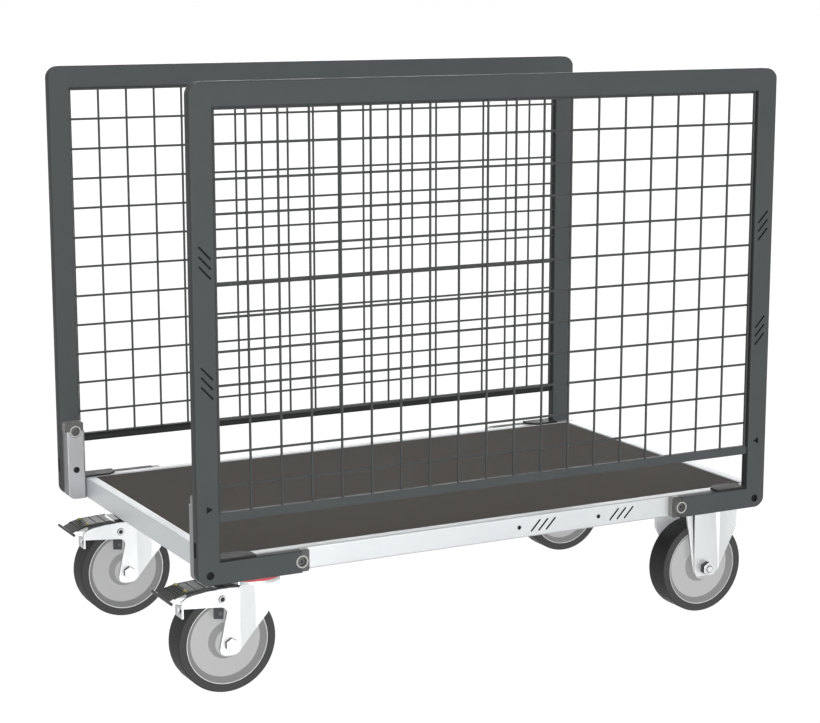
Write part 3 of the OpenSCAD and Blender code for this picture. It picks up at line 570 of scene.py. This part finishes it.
def prism(shape, middle, outline, low, high, width=0.4, index=0):
    """An outline of (x, z) pairs drawn out along Y, with softened edges."""
    verts = [shape.verts.new(beside(middle, x, low, z)) for x, z in outline]
    face = shape.faces.new(verts)
    made = bmesh.ops.extrude_face_region(shape, geom=[face])
    moved = [item for item in made["geom"] if isinstance(item, bmesh.types.BMVert)]
    bmesh.ops.translate(shape, verts=moved, vec=(0.0, (high - low) * MM, 0.0))
    tag(faces_of(verts + moved), index)
    soften(shape, edges_of(verts + moved), width)


def merged(node, gap=0.02, turn=0.5):
    """A frame node's mesh with its triangles joined where they turn by less than an angle in degrees."""
    shape = bmesh.new()
    shape.from_mesh(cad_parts[node].data)
    bmesh.ops.remove_doubles(shape, verts=shape.verts, dist=gap * MM)
    bmesh.ops.dissolve_limit(shape, angle_limit=math.radians(turn), verts=shape.verts, edges=shape.edges)
    return shape


def soften_all(shape, width, above=28.0):
    """Rounds every edge of a shape that turns by more than an angle in degrees."""
    sharp = [edge for edge in shape.edges if edge.calc_face_angle(0.0) > math.radians(above)]
    soften(shape, sharp, width)


def piece(name, shape, body, finishes, nodes=(), crease=38.0):
    """Makes a smooth-shaded piece that rides on a body and stands for some frame nodes."""
    bmesh.ops.remove_doubles(shape, verts=shape.verts, dist=0.002 * MM)
    bmesh.ops.recalc_face_normals(shape, faces=shape.faces)
    mesh = bpy.data.meshes.new(name)
    shape.to_mesh(mesh)
    shape.free()
    mesh.shade_smooth()
    mesh.set_sharp_from_angle(angle=math.radians(crease))
    for key in finishes:
        mesh.materials.append(finish(key))
    item = bpy.data.objects.new(name, mesh)
    bpy.context.scene.collection.objects.link(item)
    normals = item.modifiers.new("Weighted normals", "WEIGHTED_NORMAL")
    normals.keep_sharp = True
    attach(item, body)
    if nodes:
        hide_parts(*nodes)
    return item


def outer_sheets(shape, middle):
    """Upright side faces of a fork that look away from its middle."""
    sides = [face for face in shape.faces if abs(face.normal.y) > 0.9 and abs(face.normal.x) < 0.3]
    return [face for face in sides if (face.calc_center_median().y - middle.y) * face.normal.y > 20.0 * MM]


def press_groove(shape, middle, groove, index):
    """Presses a groove into both legs of a fork, on a fold line, running out downwards at its foot."""
    fold, foot, half, depth = groove
    top = max(vert.co.z for vert in shape.verts)
    start = beside(middle, fold, 0.0, foot)
    for sign in (-1.0, 1.0):
        slope = Vector((top - start.z, 0.0, sign * half * MM))
        faces = outer_sheets(shape, middle)
        sheets = faces + list({edge for face in faces for edge in face.edges})
        sheets += list({vert for face in faces for vert in face.verts})
        bmesh.ops.bisect_plane(shape, geom=sheets, dist=0.001 * MM, plane_co=start, plane_no=slope)
        shape.normal_update()
    near = 0.1 * MM
    for vert in shape.verts:
        away = vert.co - middle
        on_fold = abs(away.x - fold * MM) < near and top - vert.co.z < near
        if on_fold and abs(away.y) > SWIVEL_SHEET * MM:
            vert.co.y -= math.copysign(depth * MM, away.y)
            facets = [face for face in vert.link_faces if len(face.verts) == 3]
            tag([face for face in facets if abs(face.normal.y) > 0.9], index)


def inner_faces(shape, reach=TUBE_REACH):
    """Faces of a hollow shape that look at its own walls, such as a tube's inside and its holes' rims."""
    shape.faces.ensure_lookup_table()
    shape.normal_update()
    tree = BVHTree.FromBMesh(shape)
    found = []
    for face in shape.faces:
        start = face.calc_center_median() + face.normal * 0.02 * MM
        if tree.ray_cast(start, face.normal, reach * MM)[0]:
            found.append(face)
    return found


def hollow(node, name, body, key):
    """Stands for a hollow frame node, its inner faces in the dark finish as painted shade."""
    shape = merged(node)
    tag(inner_faces(shape), 1)
    return piece(name, shape, body, (key, "dark"), (node,))


def softened(node, name, body, key, width):
    """Stands for a frame node with the same shape, its edges softened."""
    shape = merged(node)
    soften_all(shape, width)
    return piece(name, shape, body, (key,), (node,))


# Operators


class TRUCK_OT_panels(bpy.types.Operator):
    """Powder coat of the panel tubes and mesh wires, and the hook plates"""

    bl_idname = "truck.panels"
    bl_label = "Side panels"

    def execute(self, context):
        for side in SIDES:
            dress("panel", f"{side}_top_bar")
            self.lower_rail(side)
            for end in ENDS:
                hollow(f"{side}_{end}_post", f"{side}_{end}_post_tube", "truck_frame", "panel")
                hollow(f"{side}_{end}_foot", f"{side}_{end}_foot_tube", "truck_frame", "panel")
            dress("wire", f"{side}_mesh")
        softened("hook_plates", "hook_plates_welded", "truck_frame", "hook", 0.8)
        return {"FINISHED"}

    def lower_rail(self, side):
        """Lower rail: a channel, open towards the load space, its lips and inside darker as painted shade.
        """
        node = f"{side}_lower_rail"
        shape = merged(node)
        shape.normal_update()
        inward = -math.copysign(1.0, centre(node).y)
        inner = max(shape.faces, key=lambda face: face.normal.y * inward * face.calc_area())
        rim = bmesh.ops.inset_region(shape, faces=[inner], thickness=RAIL_LIP * MM, depth=0.0)
        tag(rim["faces"], 1)
        made = bmesh.ops.extrude_face_region(shape, geom=[inner])
        floor = [item for item in made["geom"] if isinstance(item, bmesh.types.BMFace)][0]
        bmesh.ops.delete(shape, geom=[inner], context="FACES_ONLY")
        bmesh.ops.translate(shape, verts=list(floor.verts), vec=(0.0, -CHANNEL_DEPTH * MM * inward, 0.0))
        tag(faces_of(floor.verts), 1)
        piece(f"{node}_channel", shape, "truck_frame", ("panel", "shade"), (node,))


class TRUCK_OT_platform(bpy.types.Operator):
    """Zinc of the rails, sockets and channels, and the deck board"""

    bl_idname = "truck.platform"
    bl_label = "Platform"

    def execute(self, context):
        # End rails take the lightened zinc, the side rails below the darkened zinc, as painted light
        dress("rail", "rear_end_rail", "front_end_rail", "cross_channels")
        for side in SIDES:
            hollow(f"{side}_side_rail", f"{side}_side_rail_tube", "truck_frame", "edge")
            # The sockets take their darkened zinc as painted shade
            hollow(f"{side}_corner_socket", f"{side}_corner_socket_tube", "truck_frame", "socket")
        softened("deck_board", "deck_film_board", "truck_frame", "deck", 0.8)
        return {"FINISHED"}


class TRUCK_OT_connectors(bpy.types.Operator):
    """Cast connectors and their screws"""

    bl_idname = "truck.connectors"
    bl_label = "Connectors"

    def execute(self, context):
        shape = merged("tube_connectors")
        # Faces inside the connectors' bores get the screw grey as painted shade
        tag(inner_faces(shape, RING_REACH), 1)
        soften_all(shape, 0.9)
        piece("tube_connectors_cast", shape, "truck_frame", ("casting", "screw"), ("tube_connectors",))
        softened("connector_screws", "connector_socket_screws", "truck_frame", "screw", 0.5)
        return {"FINISHED"}


class TRUCK_OT_forks(bpy.types.Operator):
    """Pressed forks, top plates, bolts and swivel seals"""

    bl_idname = "truck.forks"
    bl_label = "Forks and plates"

    def execute(self, context):
        for side in SIDES:
            self.swivel(side)
            self.fixed(side)
        softened("caster_top_plates", "caster_top_plates_pressed", "truck_frame", "zinc", 0.6)
        dress("zinc", "caster_bolts", "king_bolts")
        self.seals()
        return {"FINISHED"}

    def swivel(self, side):
        """Swivel fork: a groove on each side of the axle's line, and a dark block under the crown as painted
        shade.
        """
        node = f"{side}_swivel_fork"
        middle = centre(f"{side}_rear_tyre")
        shape = merged(node)
        shape.normal_update()
        for groove in SWIVEL_GROOVES:
            press_groove(shape, middle, groove, 1)
        soften_all(shape, 0.8)
        # The left fork's groove facets get painted shade, the right fork's painted highlight
        facet = "crease" if side == "left" else "painted_highlight"
        # Block in the dark lever steel: painted shade in the gap under the crown
        block(shape, middle, *CROWN_SHADE_BLOCK, 2.0, index=2)
        piece(f"{node}_pressed", shape, f"{side}_swivel", ("zinc", facet, "lever"), (node,))

    def fixed(self, side):
        """Fixed fork: painted shade on the step faces at its raised panel's edges, and painted highlight on
        its slopes.
        """
        node = f"{side}_fixed_fork"
        axle = centre(f"{side}_front_tyre")
        shape = merged(node)
        for face in shape.faces:
            face.normal_update()
            out = abs(face.calc_center_median().y - axle.y) / MM
            # Step faces get the dark finish as painted shade, slopes the painted highlight
            if abs(face.normal.x) > 0.9 and out > FIXED_FLANGE:
                face.material_index = 1
            elif 0.2 < abs(face.normal.x) < 0.8 and abs(face.normal.y) > 0.5 and out > FIXED_FLANGE:
                face.material_index = 2
        soften_all(shape, 0.6)
        piece(f"{node}_pressed", shape, "truck_frame", ("zinc", "dark", "painted_highlight"), (node,))

    def seals(self):
        """Seal rings with a groove round their side."""
        low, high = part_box("swivel_seals")
        base, top = low[2] / MM, high[2] / MM
        shape = bmesh.new()
        profile = [
            (SEAL_BORE, base), (SEAL_RADIUS - 0.7, base), (SEAL_RADIUS, base + 0.9),
            (SEAL_RADIUS, base + 1.8), (SEAL_RADIUS - 0.8, base + 2.3), (SEAL_RADIUS - 0.8, base + 2.8),
            (SEAL_RADIUS, base + 3.3), (SEAL_RADIUS - 0.3, top - 0.5), (SEAL_RADIUS - 1.5, top),
            (SEAL_BORE, top),
        ]
        for side in SIDES:
            middle = centre(f"{side}_rear_tyre")
            middle.x = (low[0] + high[0]) / 2
            middle.z = 0.0
            lathe(shape, middle, profile, "Z")
        piece("swivel_seal_rings", shape, "truck_frame", ("seal",), ("swivel_seals",))


class TRUCK_OT_wheels(bpy.types.Operator):
    """Tyres, rims, sleeves, axle bolts and nuts"""

    bl_idname = "truck.wheels"
    bl_label = "Wheels"

    def execute(self, context):
        for side in SIDES:
            for end in ENDS:
                middle = centre(f"{side}_{end}_tyre")
                body = f"{side}_{end}_wheel"
                self.tyre(f"{side}_{end}_tyre", middle, body)
                self.rim(f"{side}_{end}_rim", middle, body)
            middle = centre(f"{side}_rear_tyre")
            dress("zinc", f"{side}_rear_sleeve")
            self.bolts(f"{side}_rear_axle_bolt", [middle], f"{side}_swivel", SWIVEL_HALF, 1)
            self.nuts(f"{side}_rear_axle_nut", [middle], f"{side}_swivel", SWIVEL_HALF, 1)
        middles = [centre(f"{side}_front_tyre") for side in SIDES]
        dress("zinc", "fixed_sleeves")
        self.bolts("fixed_axle_bolts", middles, "truck_frame", FIXED_HALF, -1)
        self.nuts("fixed_axle_nuts", middles, "truck_frame", FIXED_HALF, -1)
        return {"FINISHED"}

    def tyre(self, node, middle, body):
        """Tyre: flat sides, rounded shoulders and a faint line round the tread's middle."""
        half = [
            (RIM_RADIUS, TYRE_HALF - 1.3), (RIM_RADIUS + 0.5, TYRE_HALF - 0.3),
            (RIM_RADIUS + 1.6, TYRE_HALF), (TREAD_RADIUS - 2.2, TYRE_HALF),
            (TREAD_RADIUS - 0.7, TYRE_HALF - 0.9), (TREAD_RADIUS, TYRE_HALF - 2.7), (TREAD_RADIUS, 0.5),
        ]
        shape = bmesh.new()
        line = [(TREAD_RADIUS - 0.2, 0.0)]
        lathe(shape, middle, half + line + facing(reversed(half), -1.0), steps=WHEEL_STEPS)
        piece(f"{node}_moulded", shape, body, ("tyre",), (node,), crease=WHEEL_CREASE)

    def rim(self, node, middle, body):
        """Rim: hub, web, turned slope in painted shade and lip in painted highlight on both sides, joined by
        the seat and the bore.
        """
        web = [
            (BORE_RADIUS, HUB_HALF - 0.4), (BORE_RADIUS + 0.5, HUB_HALF),
            (BOSS_TOP - 0.4, HUB_HALF), (BOSS_TOP + 0.4, HUB_HALF - 0.4), (BOSS_TOP + 0.9, HUB_HALF - 1.2),
            (BOSS_FOOT - 0.4, WEB_HALF + 1.4), (BOSS_FOOT + 0.4, WEB_HALF + 0.7),
            (BOSS_FOOT + 2.1, WEB_HALF + 0.4), (WEB_RADIUS - 0.8, WEB_HALF - 0.4), (WEB_RADIUS, WEB_HALF),
        ]
        flank = [(WEB_RADIUS, WEB_HALF), (FLANK_RADIUS - 0.6, FLANK_HALF - 0.7), (FLANK_RADIUS, FLANK_HALF)]
        lip = [
            (FLANK_RADIUS, FLANK_HALF), (FLANK_RADIUS + 0.2, RIM_HALF - 0.2),
            (FLANK_RADIUS + 0.5, RIM_HALF + 0.3), (RIM_RADIUS - 0.3, RIM_HALF + 0.3), (RIM_RADIUS, RIM_HALF),
        ]
        shape = bmesh.new()
        for sign in (1.0, -1.0):
            for index, profile in enumerate((web, flank, lip)):
                lathe(shape, middle, facing(profile, sign), steps=WHEEL_STEPS, index=index, closed=False)
        for radius, half in ((RIM_RADIUS, RIM_HALF), (BORE_RADIUS, HUB_HALF - 0.4)):
            lathe(shape, middle, [(radius, half), (radius, -half)], steps=WHEEL_STEPS, closed=False)
        piece(f"{node}_turned", shape, body, ("rim", "flank", "lip"), (node,), crease=WHEEL_CREASE)

    def bolts(self, node, middles, body, half, sign):
        """Axle bolts over forks of some half width, whose ends point to one side."""
        end = half + NUT_HEIGHT + END_HEIGHT
        shank = [
            (0.0, -half), (AXLE_RADIUS, -half), (AXLE_RADIUS, end - AXLE_CHAMFER),
            (AXLE_RADIUS - AXLE_CHAMFER, end), (0.0, end),
        ]
        shape = bmesh.new()
        for middle in middles:
            # The head's flats take the darker zinc as painted shade
            hexagon(shape, middle, HEAD_RADIUS, *span(-sign, half, half + HEAD_HEIGHT), side_index=1)
            lathe(shape, middle, facing(shank, sign), steps=BOLT_STEPS, closed=False)
        piece(f"{node}_hexagon", shape, body, ("zinc", "flat"), (node,))

    def nuts(self, node, middles, body, half, sign):
        """Locking nuts on those ends: a hexagon with its flats in painted shade, a low collar and the dark
        gap in it as painted shade.
        """
        front = half + NUT_HEIGHT
        seat = front - COLLAR_HEIGHT
        collar = [
            (COLLAR_BORE, seat), (COLLAR_RADIUS, seat), (COLLAR_RADIUS, front - 0.5),
            (COLLAR_RADIUS - 0.5, front), (COLLAR_BORE + 0.6, front),
        ]
        gap = [
            (AXLE_RADIUS + 0.05, seat), (COLLAR_BORE, seat), (COLLAR_BORE, seat + 0.1),
            (AXLE_RADIUS + 0.05, seat + 0.1),
        ]
        shape = bmesh.new()
        for middle in middles:
            hexagon(shape, middle, NUT_RADIUS, *span(sign, half, seat), side_index=1)
            lathe(shape, middle, facing(collar, sign), steps=BOLT_STEPS)
            lathe(shape, middle, facing(gap, sign), steps=BOLT_STEPS, index=2)
        piece(f"{node}_locking", shape, body, ("zinc", "flat", "dark"), (node,))


class TRUCK_OT_brakes(bpy.types.Operator):
    """Brake levers, pedals and pins"""

    bl_idname = "truck.brakes"
    bl_label = "Brakes"

    def execute(self, context):
        for side in SIDES:
            middle = centre(f"{side}_rear_tyre")
            self.lever(side, middle)
            self.pedal(side, middle)
            self.pins(side, middle)
        return {"FINISHED"}

    def lever(self, side, middle):
        """Lever: softened cheeks and bridge, edge flanges, and the shoe's side blocks with their bolts."""
        node = f"{side}_brake_lever"
        shape = merged(node)
        soften_all(shape, 0.4)
        flange = [
            (-68, 81), (-60, 84), (-38, 87.4), (-18, 88.4),
            (-18, 90.4), (-38, 89.6), (-60, 86.6), (-68, 83.4),
        ]
        shoe = beside(middle, *SHOE_PLACE)
        bolt = beside(shoe, *SHOE_BOLT_PLACE)
        (rear, foot), (front, top) = SHOE_BLOCK
        # The edge flanges and the shoe bolts' flats take the darker zinc as painted shade
        for sign in (-1, 1):
            prism(shape, middle, flange, *span(sign, *FLANGE_SIDE), index=1)
            low, high = span(sign, *SHOE_SIDE)
            block(shape, shoe, (rear, low, foot), (front, high, top))
            low, high = span(sign, *SHOE_BOLT_SIDE)
            hexagon(shape, bolt, SHOE_BOLT_RADIUS, low, high, 0.2, side_index=1, end_index=2)
        piece(f"{node}_pressed", shape, f"{side}_brake", ("lever", "flat", "screw"), (node,))

    def pedal(self, side, middle):
        """Pedal: a cap with pads, treads, side rims and yellow heads, and a tongue with a round rod."""
        shape = bmesh.new()
        cap = [
            (-16, 86), (-16, 87.4), (-24, 90.3), (-66, 87.8), (-80, 84.6), (-86, 81.6),
            (-86, 79.4), (-80, 82), (-70, 85), (-66, 86),
        ]
        prism(shape, middle, cap, -CAP_HALF, CAP_HALF, 0.5)
        for ends in PADS:
            top = [(x, on_slope(x, FRONT_SLOPE)) for x in ends]
            foot = [(x, z - PAD_THICKNESS) for x, z in reversed(top)]
            prism(shape, middle, top + foot, -PAD_HALF, PAD_HALF, 0.5, index=1)
        for x in TREADS:
            z = on_slope(x, REAR_SLOPE)
            low, high = (x - 1.1, -TREAD_HALF, z - 2.0), (x + 1.1, TREAD_HALF, z + 0.9)
            block(shape, middle, low, high, 0.4)
        for sign in (-1, 1):
            rim = [(-17, 86.5), (-24, 91.0), (-66, 88.8), (-84, 84.2), (-84, 82.2), (-66, 86.0), (-24, 88.0)]
            prism(shape, middle, rim, *span(sign, *CAP_RIM_SIDE), 0.3)
        for sign in (-1, 1):
            head = [(0.0, 91.0), (2.6, 91.0), (3.4, 90.4), (3.4, 87.0)]
            spot = beside(middle, -HEAD_BACK, sign * HEAD_SIDE, 0.0)
            lathe(shape, spot, head, "Z", steps=24, index=2, closed=False)
        tongue = [(-84, 83.6), (-84, 81.6), (-95, 76.4), (-96.5, 77.6), (-95, 79.0)]
        prism(shape, middle, tongue, -TONGUE_HALF, TONGUE_HALF, 0.3)
        end = [(0.0, ROD_HALF), (ROD_RADIUS - 0.7, ROD_HALF), (ROD_RADIUS, ROD_HALF - 0.8)]
        rod = facing(end, -1.0) + list(reversed(end))
        lathe(shape, beside(middle, *ROD_PLACE), rod, steps=20, closed=False)
        node = f"{side}_brake_pedal"
        piece(f"{node}_ribbed", shape, f"{side}_brake", ("pedal", "pad", "passivated"), (node,))

    def pins(self, side, middle):
        """Pins: a hollow head on a dark ring at each end, and a dark core, the ring and core painted shade.
        """
        face = SWIVEL_HALF
        ring = [
            (PIN_HEAD_RADIUS, face + 0.05), (PIN_HEAD_RADIUS + 0.8, face + 0.05),
            (PIN_HEAD_RADIUS + 0.8, face + 0.3), (PIN_HEAD_RADIUS, face + 0.3),
        ]
        head = [
            (3.6, face + 0.1), (PIN_HEAD_RADIUS, face + 0.1), (PIN_HEAD_RADIUS, face + 1.5),
            (PIN_HEAD_RADIUS - 0.4, face + 1.9), (4.0, face + 1.9), (3.6, face + 1.5),
        ]
        core = [(0.0, 25.5), (3.0, 25.5), (3.0, face + 0.2), (3.7, face + 0.4), (0.0, face + 0.4)]
        spot = beside(middle, *PIN_PLACE)
        shape = bmesh.new()
        for sign in (-1, 1):
            lathe(shape, spot, facing(ring, sign), steps=BOLT_STEPS, index=1)
            lathe(shape, spot, facing(head, sign), steps=BOLT_STEPS)
            lathe(shape, spot, facing(core, sign), steps=BOLT_STEPS, index=1, closed=False)
        node = f"{side}_brake_pins"
        piece(f"{node}_headed", shape, f"{side}_swivel", ("zinc", "dark"), (node,))


class TRUCK_OT_studio(bpy.types.Operator):
    """Pale floor, soft lights and the camera"""

    bl_idname = "truck.studio"
    bl_label = "Studio"

    def execute(self, context):
        self.floor(context)
        self.lamp(context, "key", context.scene.truck_studio.key_power, FRONT_RAYS, True)
        self.lamp(context, "front fill", context.scene.truck_studio.fill_power, FRONT_RAYS, False)
        self.lamp(context, "back fill", context.scene.truck_studio.back_power, BACK_RAYS, False)
        self.world(context)
        self.camera(context)
        context.scene.view_settings.view_transform = "Standard"
        return {"FINISHED"}

    def floor(self, context):
        """Floor that glows evenly and casts nothing on the truck."""
        shape = bmesh.new()
        bmesh.ops.create_grid(shape, x_segments=1, y_segments=1, size=FLOOR_HALF)
        mesh = bpy.data.meshes.new("floor")
        shape.to_mesh(mesh)
        shape.free()
        ground = bpy.data.objects.new("floor", mesh)
        context.scene.collection.objects.link(ground)
        material = bpy.data.materials.new("Studio floor")
        material.use_nodes = True
        shader = material.node_tree.nodes["Principled BSDF"]
        shader.inputs["Base Color"].default_value = (0.12, 0.12, 0.12, 1.0)
        shader.inputs["Roughness"].default_value = 0.9
        shader.inputs["Specular IOR Level"].default_value = 0.1
        shader.inputs["Emission Color"].default_value = WHITE
        shader.inputs["Emission Strength"].default_value = FLOOR_GLOW
        mesh.materials.append(material)
        ground.visible_diffuse = False
        ground.visible_glossy = False

    def lamp(self, context, name, power, rays, shadow):
        """A broad distant lamp whose light travels along the rays."""
        data = bpy.data.lights.new(name, "SUN")
        data.energy = power
        data.angle = math.radians(LAMP_SPREAD)
        data.use_shadow = shadow
        item = bpy.data.objects.new(name, data)
        item.rotation_euler = Vector(rays).to_track_quat("-Z", "Y").to_euler()
        context.scene.collection.objects.link(item)

    def world(self, context):
        """White behind the truck, even light on it, and for its gloss a haze that differs front and back."""
        studio = context.scene.truck_studio
        world = bpy.data.worlds.new("studio")
        world.use_nodes = True
        tree = world.node_tree
        even = tree.nodes["Background"]
        even.inputs["Color"].default_value = WHITE
        even.inputs["Strength"].default_value = studio.ambient
        place = tree.nodes.new("ShaderNodeTexCoord")
        parts = tree.nodes.new("ShaderNodeSeparateXYZ")
        link(tree, place.outputs["Generated"], parts.inputs[0])
        ramp = tree.nodes.new("ShaderNodeMapRange")
        ramp.interpolation_type = "SMOOTHSTEP"
        ramp.inputs["From Min"].default_value = -HAZE_EDGE
        ramp.inputs["From Max"].default_value = HAZE_EDGE
        ramp.inputs["To Min"].default_value = 1.0
        ramp.inputs["To Max"].default_value = studio.haze
        link(tree, parts.outputs["Y"], ramp.inputs["Value"])
        haze = self.glow(tree)
        link(tree, ramp.outputs[0], haze.inputs["Strength"])
        backdrop = self.glow(tree)
        path = tree.nodes.new("ShaderNodeLightPath")
        lit = self.either(tree, path.outputs["Is Glossy Ray"], even, haze)
        seen = self.either(tree, path.outputs["Is Camera Ray"], lit, backdrop)
        link(tree, seen.outputs[0], tree.nodes["World Output"].inputs["Surface"])
        context.scene.world = world

    def glow(self, tree):
        """A white Background node."""
        node = tree.nodes.new("ShaderNodeBackground")
        node.inputs["Color"].default_value = WHITE
        node.inputs["Strength"].default_value = 1.0
        return node

    def either(self, tree, test, below, above):
        """A Mix Shader node that a test turns from one shader to the other."""
        mix = tree.nodes.new("ShaderNodeMixShader")
        link(tree, test, mix.inputs[0])
        link(tree, below.outputs[0], mix.inputs[1])
        link(tree, above.outputs[0], mix.inputs[2])
        return mix

    def camera(self, context):
        """Camera of the photograph."""
        data = bpy.data.cameras.new("camera")
        data.lens = context.scene.truck_studio.lens
        data.sensor_fit = "HORIZONTAL"
        data.sensor_width = SENSOR_WIDTH
        data.shift_x, data.shift_y = CAMERA_SHIFT
        data.clip_end = CLIP_END
        view = bpy.data.objects.new("camera", data)
        view.location = CAMERA_PLACE
        view.rotation_euler = (CAMERA_TILT, 0.0, CAMERA_TURN)
        context.scene.collection.objects.link(view)
        context.scene.camera = view


OPERATORS = (
    TRUCK_OT_panels,
    TRUCK_OT_platform,
    TRUCK_OT_connectors,
    TRUCK_OT_forks,
    TRUCK_OT_wheels,
    TRUCK_OT_brakes,
    TRUCK_OT_studio,
)


class TRUCK_PT_sidebar(bpy.types.Panel):
    """Lists the truck's colours, studio values and operators"""

    bl_idname = "TRUCK_PT_sidebar"
    bl_label = "Platform truck"
    bl_space_type = "VIEW_3D"
    bl_region_type = "UI"
    bl_category = "Truck"

    def draw(self, context):
        layout = self.layout
        for values in (context.scene.truck_paints, context.scene.truck_studio):
            column = layout.column()
            for key in values.__annotations__:
                column.prop(values, key)
        for operator in OPERATORS:
            layout.operator(operator.bl_idname)


CLASSES = (TruckPaints, TruckStudio, *OPERATORS, TRUCK_PT_sidebar)


def register():
    """Registers the classes and their settings."""
    for item in CLASSES:
        bpy.utils.register_class(item)
    bpy.types.Scene.truck_paints = PointerProperty(type=TruckPaints)
    bpy.types.Scene.truck_studio = PointerProperty(type=TruckStudio)


def unregister():
    """Removes the settings and classes."""
    del bpy.types.Scene.truck_studio
    del bpy.types.Scene.truck_paints
    for item in reversed(CLASSES):
        bpy.utils.unregister_class(item)


def main():
    """Builds every piece in order."""
    register()
    bpy.ops.truck.panels()
    bpy.ops.truck.platform()
    bpy.ops.truck.connectors()
    bpy.ops.truck.forks()
    bpy.ops.truck.wheels()
    bpy.ops.truck.brakes()
    bpy.ops.truck.studio()


if __name__ == "__main__":
    main()
